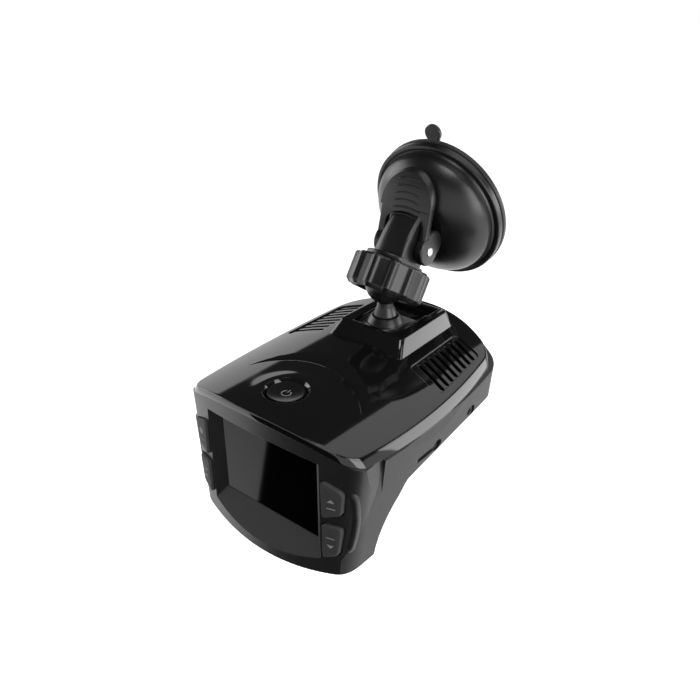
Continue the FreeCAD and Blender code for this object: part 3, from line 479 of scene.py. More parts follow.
def planOutline(half, front, rear, steps=(46, 14, 90, 22, 40)):
    # counter-clockwise from the middle of the front, right half first
    a, b = half - plan["frontIn"], half - plan["rearIn"]
    frontCentre = Vector((0, front + plan["frontBow"]))
    rearCentre = Vector((0, rear - plan["rearBow"]))
    frontCorner = Vector((a, front + a * a / (2 * plan["frontBow"])))
    rearCorner = Vector((b, rear - b * b / (2 * plan["rearBow"])))
    side, sideRadius = circleThrough(frontCorner, (half, plan["widestY"]), rearCorner)
    rf, rr = plan["frontRound"], plan["rearRound"]
    c1 = centreOfRound(frontCentre, plan["frontBow"] - rf, side, sideRadius - rf, frontCorner)
    c2 = centreOfRound(side, sideRadius - rr, rearCentre, plan["rearBow"] - rr, rearCorner)
    t1 = frontCentre + (c1 - frontCentre).normalized() * plan["frontBow"]
    t2 = side + (c1 - side).normalized() * sideRadius
    t3 = side + (c2 - side).normalized() * sideRadius
    t4 = rearCentre + (c2 - rearCentre).normalized() * plan["rearBow"]
    right = arcBetween(frontCentre, plan["frontBow"], Vector((0, front)), t1, steps[0])
    right += arcBetween(c1, rf, t1, t2, steps[1]) + arcBetween(side, sideRadius, t2, t3, steps[2])
    right += arcBetween(c2, rr, t3, t4, steps[3])
    right += arcBetween(rearCentre, plan["rearBow"], t4, Vector((0, rear)), steps[4])
    left = [Vector((-p.x, p.y)) for p in reversed(right[1:])]
    return right + [Vector((0, rear))] + left


def coverPlan(z):
    rise = z - plan["lipZ"]
    front = plan["front"] - plan["frontLean"] * (crown["top"] - plan["lipZ"]) + plan["frontLean"] * rise
    return planOutline(plan["half"] - plan["sideLean"] * rise, front, plan["rear"] - plan["rearLean"] * rise)


planLow, planHigh = coverPlan(plan["low"]), coverPlan(plan["high"])


def coverEdge(drop):
    # the outline where the flaring edge meets the crown, or the surface drop below it
    edge = []
    for a, b in zip(planLow, planHigh):
        z = crown["top"]
        for attempt in range(6):            # settles to about a hundredth of a millimetre
            p = a.lerp(b, (z - plan["low"]) / (plan["high"] - plan["low"]))
            z = crownZ(p.x, drop)
        edge.append((p.x, p.y, z))
    return edge


swell = {"y": 10.4, "height": 0.42, "reach": 9.6, "width": 3.4}


def coverSurface(x, y):
    away = math.hypot(x, y - swell["y"])
    return crownZ(x) + swell["height"] * math.exp(-((away - swell["reach"]) / swell["width"]) ** 2)


def middleLine(x, y):
    # the crown's rings close on this stretch of its middle
    return 0.0, min(max(y, 26.0), 76.0)


def bent(start, corner, end, share):
    return tuple(start * (1 - share) ** 2 + corner * 2 * share * (1 - share) + end * share ** 2)


def buildCover():
    upper, lower = coverEdge(0.0), coverEdge(crown["thick"])
    soft, lip = crown["softTop"], crown["softLip"]
    ringsOfEdge = []
    inner = []
    for x, y, z in upper:
        sx, sy = middleLine(x, y)
        way = Vector((sx - x, sy - y)).normalized() * soft
        inner.append((x + way.x, y + way.y))
    under = []
    for x, y, z in lower:
        sx, sy = middleLine(x, y)
        way = Vector((sx - x, sy - y)).normalized() * lip
        under.append((x + way.x, y + way.y, crownZ(x + way.x, crown["thick"])))
    for share in (0.0, 0.5, 1.0):
        ring = []
        for u, low, out in zip(under, lower, upper):
            corner, start = Vector(low), Vector(u)
            end = corner.lerp(Vector(out), lip / (Vector(out) - corner).length)
            ring.append(bent(start, corner, end, share))
        ringsOfEdge.append(ring)
    for share in (0.0, 0.25, 0.5, 0.75):
        ring = []
        for low, out, inside in zip(lower, upper, inner):
            corner = Vector(out)
            start = corner.lerp(Vector(low), soft / (Vector(low) - corner).length)
            end = Vector((inside[0], inside[1], coverSurface(*inside)))
            ring.append(bent(start, corner, end, share))
        ringsOfEdge.append(ring)

    def ringAt(outline, share, level):
        ring = []
        for x, y in outline:
            sx, sy = middleLine(x, y)
            px, py = x + (sx - x) * share, y + (sy - y) * share
            ring.append((px, py, level(px, py)))
        return ring

    def below(x, y):
        return crownZ(x, crown["thick"])
    lowRings = [ringAt([p[:2] for p in under], 1 - k / 12, below) for k in range(12)]
    highRings = [ringAt(inner, k / 56, coverSurface) for k in range(57)]
    points, faces = bridgeRings(lowRings + ringsOfEdge + highRings, False, False)
    shell = meshObject("cover", points, faces)
    combine(shell, pedestalSolid(), "UNION")
    combine(shell, pocketSpace(), "DIFFERENCE")
    combine(shell, wellSpace(), "DIFFERENCE")
    combine(shell, scoopSpace(), "DIFFERENCE")
    for side in (1, -1):
        combine(shell, ventRecess(side), "DIFFERENCE")
        combine(shell, ventSlots(side), "DIFFERENCE")
    smooth(shell, 28)
    return finishPiece(shell, "device", ["top_cover"], "gloss_shell")


pedestal = {"base": (17.3, 53.0, 90.0, 53.2), "top": (14.7, 57.8, 89.4, 59.1), "round": 2.2, "soft": 0.5,
            "levels": (52.6, 54.0, 56.0)}


def roundedBox(half, y0, y1, z, radius, steps=5):
    flat = roundCorners([(half, y0), (half, y1), (-half, y1), (-half, y0)], radius, steps)
    return [(x, y, z) for x, y in flat]


def pedestalSolid():
    (h0, f0, r0, z0), (h1, f1, r1, z1) = pedestal["base"], pedestal["top"]

    def at(z, inset=0.0):
        t = (z - z0) / (z1 - z0)
        return roundedBox(h0 + (h1 - h0) * t - inset, f0 + (f1 - f0) * t + inset, r0 + (r1 - r0) * t - inset,
                          z, pedestal["round"])
    soft = pedestal["soft"]
    rings = [at(z) for z in pedestal["levels"]] + [at(z1 - soft), at(z1 - soft * 0.35, soft * 0.12)]
    top = at(z1, soft)
    return prism("pedestal", rings + [[(x, y, z1) for x, y, z in top]])


pocket = {"half": 9.9, "front": 60.1, "rear": 88.3, "depth": 3.2, "round": 0.9, "flare": 1.0,
          "releaseHalf": 11.1, "releaseFront": 80.3, "releaseRound": 0.6}


def pocketSpace():
    half, front, rear, flare = pocket["half"], pocket["front"], pocket["rear"], pocket["flare"]
    floor, top = pedestalHigh - pocket["depth"], pedestalHigh
    rings = [roundedBox(half, front, rear, floor, pocket["round"]),
             roundedBox(half, front, rear, top - 0.4, pocket["round"]),
             roundedBox(half + flare, front - flare, rear + flare, top + 0.6, 1.6)]
    space = prism("pocket", rings)
    wide = roundedBox(pocket["releaseHalf"], pocket["releaseFront"], rear, floor, pocket["releaseRound"])
    return combine(space, prism("release", [wide, [(x, y, top + 1) for x, y, z in wide]]), "UNION")


well = {"radius": 6.95, "mouth": 8.5, "depth": 1.5, "y": 10.4, "through": 9.0, "over": 2.0}


def wellSpace():
    z = crown["top"]
    floor, over = z - well["through"], z + well["over"]
    profile = [(0.001, floor), (well["radius"], floor), (well["radius"], z - well["depth"]),
               (well["mouth"] - 0.3, z + 0.15), (well["mouth"] + 1.2, over), (0.001, over)]
    return spin("well", profile, [0, 0, 0.5, 0.8, 0, 0], 96, shiftedBy(well["y"]))


scoop = {"innerY": -3.1, "innerRadius": 34.0, "outerY": 12.3, "outerRadius": 27.2, "depth": 1.15,
         "clear": 0.05}


def scoopSpace():
    # deepest along the inner arc, rising to nothing at the outer arc and at both tips
    gap = scoop["outerY"] - scoop["innerY"]
    r1, r2 = scoop["innerRadius"], scoop["outerRadius"]
    along = (r1 * r1 - r2 * r2 + gap * gap) / (2 * gap)
    tipX, tipY = math.sqrt(r1 * r1 - along * along), scoop["innerY"] + along
    a = math.atan2(tipY - scoop["innerY"], tipX)
    b = math.atan2(tipY - scoop["outerY"], tipX)
    columns, steps = 64, 8
    low, high = [], []
    for i in range(columns + 1):
        t = i / columns
        inner = Vector((0, scoop["innerY"])) + Vector((math.cos(a + (math.pi - 2 * a) * t),
                                                       math.sin(a + (math.pi - 2 * a) * t))) * r1
        outer = Vector((0, scoop["outerY"])) + Vector((math.cos(b + (math.pi - 2 * b) * t),
                                                       math.sin(b + (math.pi - 2 * b) * t))) * r2
        deep = scoop["depth"] * min(1, math.sin(math.pi * t) ** 0.8 * 1.15)
        for k in range(steps + 1):
            w = k / steps
            p = inner.lerp(outer, w)
            low.append((p.x, p.y, coverSurface(p.x, p.y) + scoop["clear"] - deep * (1 - w) ** 1.2))
            high.append((p.x, p.y, crown["top"] + 3))
    count = steps + 1
    faces = []
    total = len(low)
    for i in range(columns):
        for k in range(steps):
            q = (i * count + k, i * count + k + 1, (i + 1) * count + k + 1, (i + 1) * count + k)
            faces.append(q)
            faces.append(tuple(total + v for v in reversed(q)))
        for k in (0, steps):
            q = (i * count + k, (i + 1) * count + k)
            faces.append((q[0], q[1], total + q[1], total + q[0]))
    for i in (0, columns):
        for k in range(steps):
            q = (i * count + k, i * count + k + 1)
            faces.append((q[0], q[1], total + q[1], total + q[0]))
    return meshObject("scoop", low + high, faces)


vents = {"corners": [(21.9, 52.8), (21.4, 85.2), (34.4, 82.1), (37.0, 49.4)], "round": 2.4, "sink": 0.55,
         "middle": 28.6, "over": 60.0,
         "first": [(23.6, 57.0), (35.6, 54.0)], "last": [(23.4, 81.8), (33.4, 78.6)], "count": 8,
         "half": 0.85, "from": 30.0, "to": 62.0}


def ventRecess(side):
    rounded = roundCorners([Vector(c) for c in vents["corners"]], vents["round"], 6)
    outline = []
    for i, p in enumerate(rounded):
        after = Vector(rounded[(i + 1) % len(rounded)])
        steps = max(1, int((after - Vector(p)).length / 1.2))
        outline += [tuple(Vector(p).lerp(after, k / steps)) for k in range(steps)]
    outline = [(x * side, y) for x, y in outline]

    def line(x, y):
        return vents["middle"] * side, min(max(y, 58.0), 78.0)

    def floorLevel(x, y):
        return crownZ(x, vents["sink"])

    def overLevel(x, y):
        return vents["over"]
    return sheetSolid("recess", outline, line, 8, floorLevel, overLevel)


def ventSlots(side):
    points, faces = [], []
    for i in range(vents["count"]):
        t = i / (vents["count"] - 1)
        a, b = (Vector(p).lerp(Vector(q), t) for p, q in zip(vents["first"], vents["last"]))
        run = (b - a).normalized()
        turn = math.atan2(run.y, run.x)
        ring = []
        half = vents["half"]
        for centre, start in ((b, turn - math.pi / 2), (a, turn + math.pi / 2)):
            for k in range(9):
                angle = start + math.pi * k / 8
                ring.append((centre.x + math.cos(angle) * half, centre.y + math.sin(angle) * half))
        levels = (vents["from"], vents["to"])
        some, skin = bridgeRings([[(x * side, y, z) for x, y in ring] for z in levels])
        faces += [tuple(v + len(points) for v in face) for face in skin]
        points += some
    return meshObject("slots", points, faces)


buildCover()
print("cover done")


def softCurve(points, steps=6):
    # a smooth line through every point
    run = [Vector(p) for p in points]
    run = [run[0] * 2 - run[1]] + run + [run[-1] * 2 - run[-2]]
    made = []
    for a, b, c, d in zip(run, run[1:], run[2:], run[3:]):
        for k in range(steps):
            t = k / steps
            made.append((b * 2 + (c - a) * t + (a * 2 - b * 5 + c * 4 - d) * t * t
                         + (b * 3 - a - c * 3 + d) * t ** 3) / 2)
    return made + [run[-2]]


def sideSolid(name, outline, half, move=None):
    # an outline in y and z, carried across from -half to half
    return prism(name, [[(x, y, z) for y, z in outline] for x in (-half, half)], move)


def tube(name, path, radius, move=None, around=8):
    # a round bead along a line, closed at both ends
    rings = []
    for k, p in enumerate(path):
        way = (Vector(path[min(k + 1, len(path) - 1)]) - Vector(path[max(k - 1, 0)])).normalized()
        across = way.cross(Vector((0, 0, 1)))
        across = across.normalized() if across.length > 1e-3 else Vector((1, 0, 0))
        up = across.cross(way)
        share = min(1.0, 0.35 + 0.65 * min(k, len(path) - 1 - k) / 2)
        rings.append([Vector(p) + (across * math.cos(2 * math.pi * i / around)
                                   + up * math.sin(2 * math.pi * i / around)) * radius * share
                      for i in range(around)])
    return prism(name, rings, move, 60)


# The mount: stud and ball, slide plate, lobed nut, arm, lever on its pin, dome and disc

stud = {"low": 61.65, "lowRadius": 4.6, "highRadius": 3.05, "ball": 8.0, "chamfer": (0.35, 0.9),
        "waist": 65.2}


def buildStud():
    low, ballZ = stud["low"], ballCentre.z
    start = math.asin(stud["highRadius"] / stud["ball"])
    inward, upward = stud["chamfer"]
    profile = [(0.001, low), (stud["lowRadius"], low), (stud["lowRadius"] - inward, low + upward),
               (stud["highRadius"] + 0.25, stud["waist"]),
               (stud["highRadius"], ballZ - stud["ball"] * math.cos(start))]
    steps = 28
    for k in range(1, steps + 1):
        a = start + (math.pi - start) * k / steps
        profile.append((max(0.001, stud["ball"] * math.sin(a)), ballZ - stud["ball"] * math.cos(a)))
    rounds = [0, 0.3, 0.6, 2.0, 0.5] + [0] * steps
    thing = spin("ballStud", profile, rounds, 72, shiftedBy(ballCentre.y))
    return finishPiece(thing, "stud", ["ball_stud"], "mount_plastic")


plate = {"half": 9.6, "front": 60.4, "rear": 76.2, "low": 56.2, "high": 58.2, "tongueHalf": 10.8,
         "tongueFront": 68.7, "tongueHigh": 57.2, "collarFoot": 7.0, "collarTop": 4.75, "collarHigh": 61.6,
         "round": 1.2, "soft": 0.35}


def buildPlate():
    soft, rear, corner = plate["soft"], plate["rear"], plate["round"]

    def block(half, front, high):
        rings = [roundedBox(half, front, rear, plate["low"], corner),
                 roundedBox(half, front, rear, high - soft, corner)]
        for inset, level in ((soft * 0.3, high - soft * 0.3), (soft, high)):
            rings.append(roundedBox(half - inset, front + inset, rear - inset, level, corner))
        return prism("slidePlate", rings)
    thing = block(plate["half"], plate["front"], plate["high"])
    combine(thing, block(plate["tongueHalf"], plate["tongueFront"], plate["tongueHigh"]), "UNION")
    base = plate["high"]
    profile = [(0.001, base - 1), (plate["collarFoot"], base - 1), (plate["collarFoot"], base + 0.9),
               (plate["collarTop"] + 0.5, plate["collarHigh"]), (0.001, plate["collarHigh"])]
    combine(thing, spin("collar", profile, [0, 0, 0.5, 0.4, 0], 72, shiftedBy(ballCentre.y)), "UNION")
    return finishPiece(thing, "plate", ["slide_plate"], "mount_plastic")


nut = {"radius": 15.1, "low": -4.6, "high": 7.8, "mouth": 10.4, "seat": 11.15, "lobes": 12, "valley": 1.15,
       "ribHalf": 5.4, "firstRib": 4.5, "smoothRim": 1.2, "lowChamfer": 1.5, "highChamfer": 0.7}


def buildNut():
    def lobed(r, z, turn):
        # flat faces between narrow round ribs
        pitch = 360 / nut["lobes"]
        off = (math.degrees(turn) - nut["firstRib"] + pitch / 2) % pitch - pitch / 2
        rib = 1 / (1 + (abs(off) / nut["ribHalf"]) ** 4)
        flat = math.cos(math.radians(pitch / 2 - abs(off)))
        rim = nut["mouth"] + nut["smoothRim"]
        share = min(1, max(0, (r - rim) / (nut["radius"] - rim)))
        return r - share * (1 - rib) * (nut["valley"] + (1 - flat) * 6)
    radius, low, high = nut["radius"], nut["low"], nut["high"]
    lowCut, highCut = nut["lowChamfer"], nut["highChamfer"]
    profile = [(nut["mouth"], low + 0.1), (radius - lowCut, low), (radius, low + lowCut),
               (radius, high - highCut), (radius - highCut, high), (nut["seat"], high),
               (nut["seat"], low + 2.4), (nut["mouth"], low + 1.2)]
    thing = spin("clampNut", profile, [0.3, 0.5, 0.5, 0.6, 0.4, 0.3, 0, 0.2], 288, atSocket, 40, lobed)
    return finishPiece(thing, "nut", ["clamp_nut"], "mount_plastic")


arm = {"half": 7.6, "depth": 7.8, "highDepth": 10.8, "start": 9.8, "end": -20.2, "endShift": -1.0,
       "rounds": [2.0, 1.6, 6.0, 3.0], "stem": 4.95, "stemEnd": -4.8, "bulge": 5.2, "knuckle": 5.2,
       "pinDrop": 2.0, "pinFromGlass": -26.7, "flange": 11.6, "flangeHalf": 8.0, "flangeThick": 1.7,
       "socket": 10.7, "socketBore": 8.2, "socketLow": -1.2}


def buildArm():
    first, last = atSocket((0, 0, arm["start"] - 0.6)), atGlass((0, arm["endShift"], arm["end"]))
    wayOut = (atSocket((0, 0, 1)) - atSocket((0, 0, 0)))
    wayIn = (atGlass((0, 0, 1)) - atGlass((0, 0, 0)))
    turnOut, turnIn = math.atan2(wayOut.z, wayOut.y), math.atan2(wayIn.z, wayIn.y)
    a, b, c, d = first, first + wayOut * arm["bulge"], last - wayIn * arm["bulge"], last
    steps = 22
    rings = []
    for k in range(-2, steps + 3):
        t = min(max(k / steps, 0), 1)
        soft = 0.35 * max(0, -k, k - steps)
        centre = a * (1 - t) ** 3 + b * 3 * t * (1 - t) ** 2 + c * 3 * t * t * (1 - t) + d * t ** 3
        turn = turnOut + (turnIn - turnOut) * t
        up = Vector((0, -math.sin(turn), math.cos(turn)))
        waist = 0.5 * math.sin(math.pi * t)
        depth = arm["depth"] + (arm["highDepth"] - arm["depth"]) * t - waist - soft
        half = arm["half"] - soft - 0.25 * math.sin(math.pi * t)
        flat = roundCorners([(half, -depth), (half, depth), (-half, depth), (-half, -depth)],
                            arm["rounds"], 7)
        rings.append([centre + Vector((x, 0, 0)) + up * v for x, v in flat])
    thing = prism("mountArm", rings)
    knuckle = []
    for x, r in ((-arm["half"], arm["knuckle"] - 0.4), (-arm["half"] + 0.4, arm["knuckle"]),
                 (arm["half"] - 0.4, arm["knuckle"]), (arm["half"], arm["knuckle"] - 0.4)):
        knuckle.append([(x, arm["pinDrop"] + r * math.cos(k * math.pi / 24),
                         arm["pinFromGlass"] + r * math.sin(k * math.pi / 24)) for k in range(48)])
    combine(thing, prism("knuckle", knuckle, atGlass), "UNION")
    stem = [(0.001, arm["end"] - 2), (arm["stem"], arm["end"] - 2), (arm["stem"], arm["stemEnd"]),
            (0.001, arm["stemEnd"])]
    combine(thing, spin("stem", stem, 0, 48, atGlass), "UNION")
    top = nut["high"] + 0.3
    socket, over = arm["socket"], top + arm["flangeThick"]
    wide = arm["flange"]
    flange = [(0.001, top - 4), (socket, top - 4), (socket, top), (wide, top), (wide, over), (0.001, over)]

    def narrowed(point):
        return atSocket((max(-arm["flangeHalf"], min(arm["flangeHalf"], point[0])), point[1], point[2]))
    rounds = [0, 0, 0.2, 0.3, 0.5, 0]
    combine(thing, spin("flange", flange, rounds, 96, narrowed), "UNION")
    bore, low = arm["socketBore"], arm["socketLow"]
    cup = [(bore, low), (socket - 1.0, low), (socket, low + 1.6), (socket, top - 3), (bore, top - 3)]
    combine(thing, spin("cup", cup, [0, 0.4, 0.4, 0, 0], 96, atSocket), "UNION")
    smooth(thing, 30)
    return finishPiece(thing, "mount", ["mount_arm"], "mount_plastic")


pin = {"radius": 1.75, "half": 11.6, "round": 0.35}


def buildPin():
    profile = [(0.001, -pin["half"]), (pin["radius"], -pin["half"]), (pin["radius"], pin["half"]),
               (0.001, pin["half"])]

    def turned(p):
        return atGlass((p[2], arm["pinDrop"] + p[0], arm["pinFromGlass"] + p[1]))
    thing = spin("leverPin", profile, [0, pin["round"], pin["round"], 0], 40, turned)
    return finishPiece(thing, "mount", ["lever_pin"], "pin_steel")


lever = {"half": 11.2, "leg": 3.0, "padCentre": -13.4, "padEdge": -12.0, "ear": 5.7, "nose": 3.0,
         "face": [(0.0, -31.2), (-4.0, -29.0), (-8.0, -26.6), (-14.0, -23.2), (-20.0, -20.0),
                  (-25.8, -16.6)],
         "padThick": 3.4, "yokeSink": 0.9, "noseReach": 8.4, "noseDrop": 2.0, "archY": -7.0, "archHigh": 4.2,
         "ridges": 6, "ridgeRadius": 0.34, "firstRidge": -22.6, "ridgePitch": 2.35}


def faceHeight(y, line):
    for (y0, z0), (y1, z1) in zip(line, line[1:]):
        if y1 <= y <= y0:
            return z0 + (z1 - z0) * (y0 - y) / (y0 - y1)
    return line[-1][1]


def buildLever():
    half, middle = lever["half"], lever["padCentre"]
    line = [(p.x, p.y) for p in softCurve(lever["face"], 5)]
    thick, sink = lever["padThick"], lever["yokeSink"]
    y, z = arm["pinDrop"], arm["pinFromGlass"]

    def planSolid(inset):
        reach, high = half - inset, 8.0
        turns = [k * math.pi / 40 for k in range(41)]
        flat = [(reach * math.cos(turn), middle - reach * math.sin(turn)) for turn in turns]
        flat = [(reach, high)] + flat + [(-reach, high)]
        return prism("plan", [[(a, b, -60.0) for a, b in flat], [(a, b, 10.0) for a, b in flat]], atGlass)
    pad = [p for p in line if p[0] < lever["padEdge"]]
    padSide = pad + [(b - 0.4, c + thick) for b, c in reversed(pad)]
    body = combine(sideSolid("lever", padSide, half + 1, atGlass), planSolid(0), "INTERSECT")
    yoke = [(b, c + sink) for b, c in line if b < -0.4]
    yokeSide = [(y - 0.6, z - lever["ear"] + 1.2)] + yoke + [(b, c + thick - 0.5) for b, c in reversed(yoke)]
    yokeSide += [(y + 1.0, z + 3.0)]
    lower = combine(sideSolid("yoke", yokeSide, half + 1, atGlass), planSolid(0.35), "INTERSECT")
    inner = half - lever["leg"]
    turns = [math.pi * k / 24 for k in range(25)]
    arch = [(inner * math.cos(turn), lever["archY"] - lever["archHigh"] * math.sin(turn)) for turn in turns]
    arch = [(inner, 20.0)] + arch + [(-inner, 20.0)]
    opening = [[(a, b, h) for a, b in arch] for h in (-60.0, 10.0)]
    combine(lower, prism("arch", opening, atGlass), "DIFFERENCE")
    combine(body, lower, "UNION")
    toNose = Vector((-lever["noseDrop"], lever["noseReach"] - lever["nose"]))
    for side in (-1, 1):
        rings = []
        for x, grow in ((inner, 0.0), (half - 0.5, 0.0), (half, -0.5)):
            spots = []
            for k in range(64):
                a = 2 * math.pi * k / 64
                way = Vector((math.cos(a), math.sin(a)))
                reachOut = max(lever["ear"], way.dot(toNose) + lever["nose"]) + grow
                spots.append((side * x, y + way.x * reachOut, z + way.y * reachOut))
            rings.append(spots)
        combine(body, prism("ear", rings, atGlass), "UNION")
    softenEdges(body, 0.35, 40, 2)
    finishPiece(body, "lever", ["lever"], "mount_plastic")
    for k in range(lever["ridges"]):
        top = lever["firstRidge"] + lever["ridgePitch"] * k
        path = []
        reach = 6.2 if k else 5.2
        for i in range(17):
            x = reach * (i / 8 - 1)
            b = top + x * x / 40
            path.append((x, b, faceHeight(b, line) - 0.02))
        bead = tube("gripRidge%d" % (k + 1), path, lever["ridgeRadius"], atGlass)
        finishPiece(bead, "lever", (), "mount_plastic")
    return body


dome = {"rim": 28.45, "rimTop": -2.35, "rimLow": -5.15, "groove": 26.2, "bell": [(25.5, -6.4), (24.9, -8.9),
        (22.5, -12.1), (18.6, -15.1), (14.9, -17.1), (11.6, -17.95)], "bore": 5.2, "hub": 7.4}


def buildDome():
    bell = [tuple(p) for p in softCurve(dome["bell"], 5)]
    rim, groove, top, low = dome["rim"], dome["groove"], dome["rimTop"], dome["rimLow"]
    outside = [(rim, top), (rim, low), (groove + 0.9, low), (groove, low + 0.5), (groove - 0.5, low - 0.3)]
    outside += bell
    inside = [(dome["bore"], -18.0), (dome["bore"], -12.0), (dome["hub"], -12.0), (dome["hub"], -15.9),
              (13.8, -15.2), (17.4, -13.2), (20.9, -10.4), (23.3, -7.6), (24.0, -4.6), (26.4, -4.2),
              (26.4, top)]
    rounds = [0.25, 0.6, 0.3, 0.2, 0.2] + [0] * len(bell) + [0.4] + [0] * 10
    thing = spin("suctionDome", outside + inside, rounds, 160, atGlass, 28)
    return finishPiece(thing, "dome", ["suction_dome"], "mount_plastic")


disc = {"radius": 28.7, "rim": 2.0, "tabReach": 35.2, "tabHead": 3.4, "tabNeck": 2.0, "tabThick": 1.9,
        "chamber": 24.0, "chamberDeep": 0.9, "hub": 9.0, "hubHigh": 4.2}


def buildDisc():
    edge, rim, hub = disc["radius"], disc["rim"], disc["hub"]
    deep, top = -disc["chamberDeep"], -disc["hubHigh"]
    profile = [(0.001, deep), (disc["chamber"], deep), (disc["chamber"] + 2, 0), (edge - 0.1, 0),
               (edge, -0.7), (edge, -rim), (20.0, -rim - 0.3), (hub, -rim - 1.4), (hub, top), (0.001, top)]
    thing = spin("suctionDisc", profile, [0, 0.6, 0.8, 0.2, 0.3, 0.5, 1.0, 0.8, 0.6, 0], 160, atGlass)
    bulb = disc["tabHead"]
    head = disc["tabReach"] - bulb
    turns = [math.radians(a) for a in range(-130, 131, 10)]
    flat = [(bulb * math.sin(a), -head - bulb * math.cos(a)) for a in turns]
    flat += [(disc["tabNeck"], -edge + 2.0), (-disc["tabNeck"], -edge + 2.0)]
    flat = roundCorners(flat, [0] * 26 + [0.8, 0, 0], 3)
    rings = []
    for share, high in ((0.94, -rim + 0.3), (1.0, -rim + 0.55), (1.0, -rim + disc["tabThick"] - 0.3),
                        (0.94, -rim + disc["tabThick"])):
        ring = []
        for a, b in flat:
            shrink = share if b < -head + 3 else 1      # the neck runs on into the disc
            ring.append((a * share, -head + (b + head) * shrink, high))
        rings.append(ring)
    combine(thing, prism("tab", rings, atGlass), "UNION")
    return finishPiece(thing, "mount", ["suction_disc"], "disc_rubber")


for build in (buildStud, buildPlate, buildNut, buildArm, buildPin, buildLever, buildDome, buildDisc):
    build()
print("mount done")


# Power button, keys, and their marks

button = {"radius": 6.6, "y": 10.4, "top": 54.42, "low": 51.0, "dish": 0.85, "flange": 1.1}


def dishLevel(r):
    return button["top"] - button["dish"] * max(0, 1 - (r / button["radius"]) ** 2)


def buildButton():
    radius, top = button["radius"], button["top"]
    low, wide, steps = button["low"], radius + button["flange"], 12
    profile = [(0.001, low), (wide, low), (wide, low + 1.0), (radius, low + 1.0), (radius, top)]
    for k in range(1, steps + 1):
        r = radius * (1 - k / steps)
        profile.append((max(0.001, r), dishLevel(r) - 0.02))
    thing = spin("powerButton", profile, [0, 0.1, 0.1, 0, 0.45] + [0] * steps, 72, shiftedBy(button["y"]))
    finishPiece(thing, "power_button", ["power_button"], "button_plastic")
    outline = []
    for r, order in ((1.85, 1), (1.5, -1)):
        for k in range(25)[::order]:
            a = math.radians(125 + 290 * k / 24)
            outline.append((r * math.cos(a), r * math.sin(a)))
    bar = [(-0.18, 0.6), (0.18, 0.6), (0.18, 2.2), (-0.18, 2.2)]
    for name, flat in (("powerRing", outline), ("powerBar", bar)):
        rings = []
        for rise in (-0.05, 0.03):
            rings.append([(x, y + button["y"], dishLevel(math.hypot(x, y)) + rise) for x, y in flat])
        finishPiece(prism(name, rings), "power_button", (), "button_plastic", markPaint)


keys = {"proud": 1.25, "root": 1.2, "markHigh": 0.13,
        "up": [(26.9, 38.4), (34.9, 35.2), (34.2, 25.8), (27.2, 22.6)],
        "down": [(27.2, 20.2), (34.5, 20.2), (32.9, 7.9), (27.2, 5.0)],
        "upRounds": [1.3, 3.2, 2.2, 1.3], "downRounds": [1.3, 2.2, 2.8, 1.3]}


def bezelFront(x):
    return plan["front"] + x * x / (2 * plan["frontBow"])


def insetLoop(loop, inset):
    # each point moves in along the mean of its two edges' normals
    made = []
    count = len(loop)
    for i in range(count):
        here = Vector(loop[i])
        run = Vector(loop[(i + 1) % count]) - Vector(loop[i - 1])
        if run.length < 1e-6:
            made.append(tuple(here))
            continue
        made.append(tuple(here + Vector((run.y, -run.x)).normalized() * inset))
    return made


def buildKey(node, corners, rounds, side, marks):
    flat = roundCorners(corners, rounds, 6)
    proud = keys["proud"]
    middle = Vector((sum(p[0] for p in corners) / 4, sum(p[1] for p in corners) / 4))
    rings = []
    steps = ((0.0, -keys["root"]), (0.0, 0.0), (0.0, proud - 0.6), (0.12, proud - 0.28),
             (0.32, proud - 0.08), (0.62, proud))
    for inset, out in steps:
        rings.append([(x, bezelFront(x) - out, z) for x, z in insetLoop(flat, inset)])
    for share in (0.7, 0.4, 0.1):
        spots = [Vector(p).lerp(middle, 1 - share) for p in insetLoop(flat, 0.62)]
        rings.append([(p.x, bezelFront(p.x) - proud - 0.06 * (1 - share), p.y) for p in spots])
    rings = [[(x * side, y, z) for x, y, z in ring] for ring in rings]
    thing = prism(node.replace("key_", "key") + "Cap", rings)
    finishPiece(thing, node, [node], "key_rubber")
    for k, mark in enumerate(marks):
        layers = []
        for lift in (0.0, keys["markHigh"]):
            spots = [(middle.x + a, middle.y + b) for a, b in mark]
            layers.append([(side * x, bezelFront(x) - proud - lift, z) for x, z in spots])
        painted = prism("%sMark%d" % (node.replace("key_", ""), k + 1), layers)
        finishPiece(painted, node, (), "key_rubber", markPaint)


def ringMark(x, z, radius, width):
    wide = [(x + r * math.cos(math.pi * k / 12), z + r * math.sin(math.pi * k / 12))
            for r, ks in ((radius, range(25)), (radius - width, range(24, -1, -1))) for k in ks]
    return wide


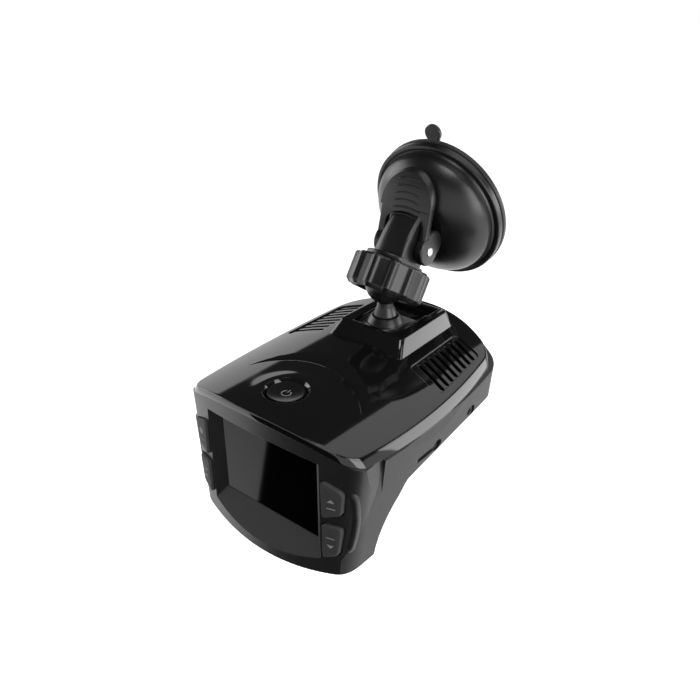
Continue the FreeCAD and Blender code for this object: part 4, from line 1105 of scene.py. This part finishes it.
def barMark(x, z, half, high):
    return [(x - half, z - high), (x + half, z - high), (x + half, z + high), (x - half, z + high)]


arrowUp = [(-1.25, -0.1), (1.25, -0.1), (0, 1.25)]
arrowDown = [(1.25, 0.1), (-1.25, 0.1), (0, -1.25)]
keyMarks = {
    "key_up": [arrowUp, barMark(0, -2.6, 1.5, 0.16)],
    "key_down": [[(x, z - 1.4) for x, z in arrowDown], barMark(0, 1.7, 1.5, 0.16)],
    "key_record": [ringMark(0, 1.6, 1.3, 0.35), barMark(0, -2.0, 1.6, 0.16)],
    "key_mode": [[(x, z - 1.9) for x, z in arrowUp], barMark(0, 2.2, 1.6, 0.16), barMark(0, 1.3, 1.1, 0.16)],
}
for node, which, side in (("key_up", "up", 1), ("key_down", "down", 1), ("key_record", "up", -1),
                          ("key_mode", "down", -1)):
    buildKey(node, keys[which], keys[which + "Rounds"], side, keyMarks[node])

fingerRib = {"x": 36.9, "high": 36.4, "low": 7.8, "radius": 1.7, "shift": -2.3, "proud": 0.5,
             "bow": 0.5, "hook": 0.7, "sideLean": 0.095}


def buildFingerRibs():
    # a soft moulding outboard of each pair of keys
    for side, name in ((1, "rightKeyRib"), (-1, "leftKeyRib")):
        path = []
        for k in range(21):
            t = k / 20
            z = fingerRib["high"] + (fingerRib["low"] - fingerRib["high"]) * t
            x = fingerRib["x"] + fingerRib["shift"] * t * t + fingerRib["bow"] * math.sin(math.pi * t)
            x -= fingerRib["hook"] * (1 - t) ** 6
            half = plan["half"] + (z - plan["lipZ"]) * fingerRib["sideLean"]
            outline = planOutline(half, plan["front"], plan["rear"])
            near = [q for q in outline if q.x > 20 and q.y < 20]
            low = max((q for q in near if q.x <= x), key=lambda q: q.x)
            high = min((q for q in near if q.x > x), key=lambda q: q.x)
            y = low.y + (high.y - low.y) * (x - low.x) / (high.x - low.x)
            path.append((side * x, y + fingerRib["radius"] - fingerRib["proud"], z))
        bead = tube(name, path, fingerRib["radius"], None, 20)
        finishPiece(bead, "device", (), "bezel_plastic")


buildButton()
buildFingerRibs()
print("button and keys done")
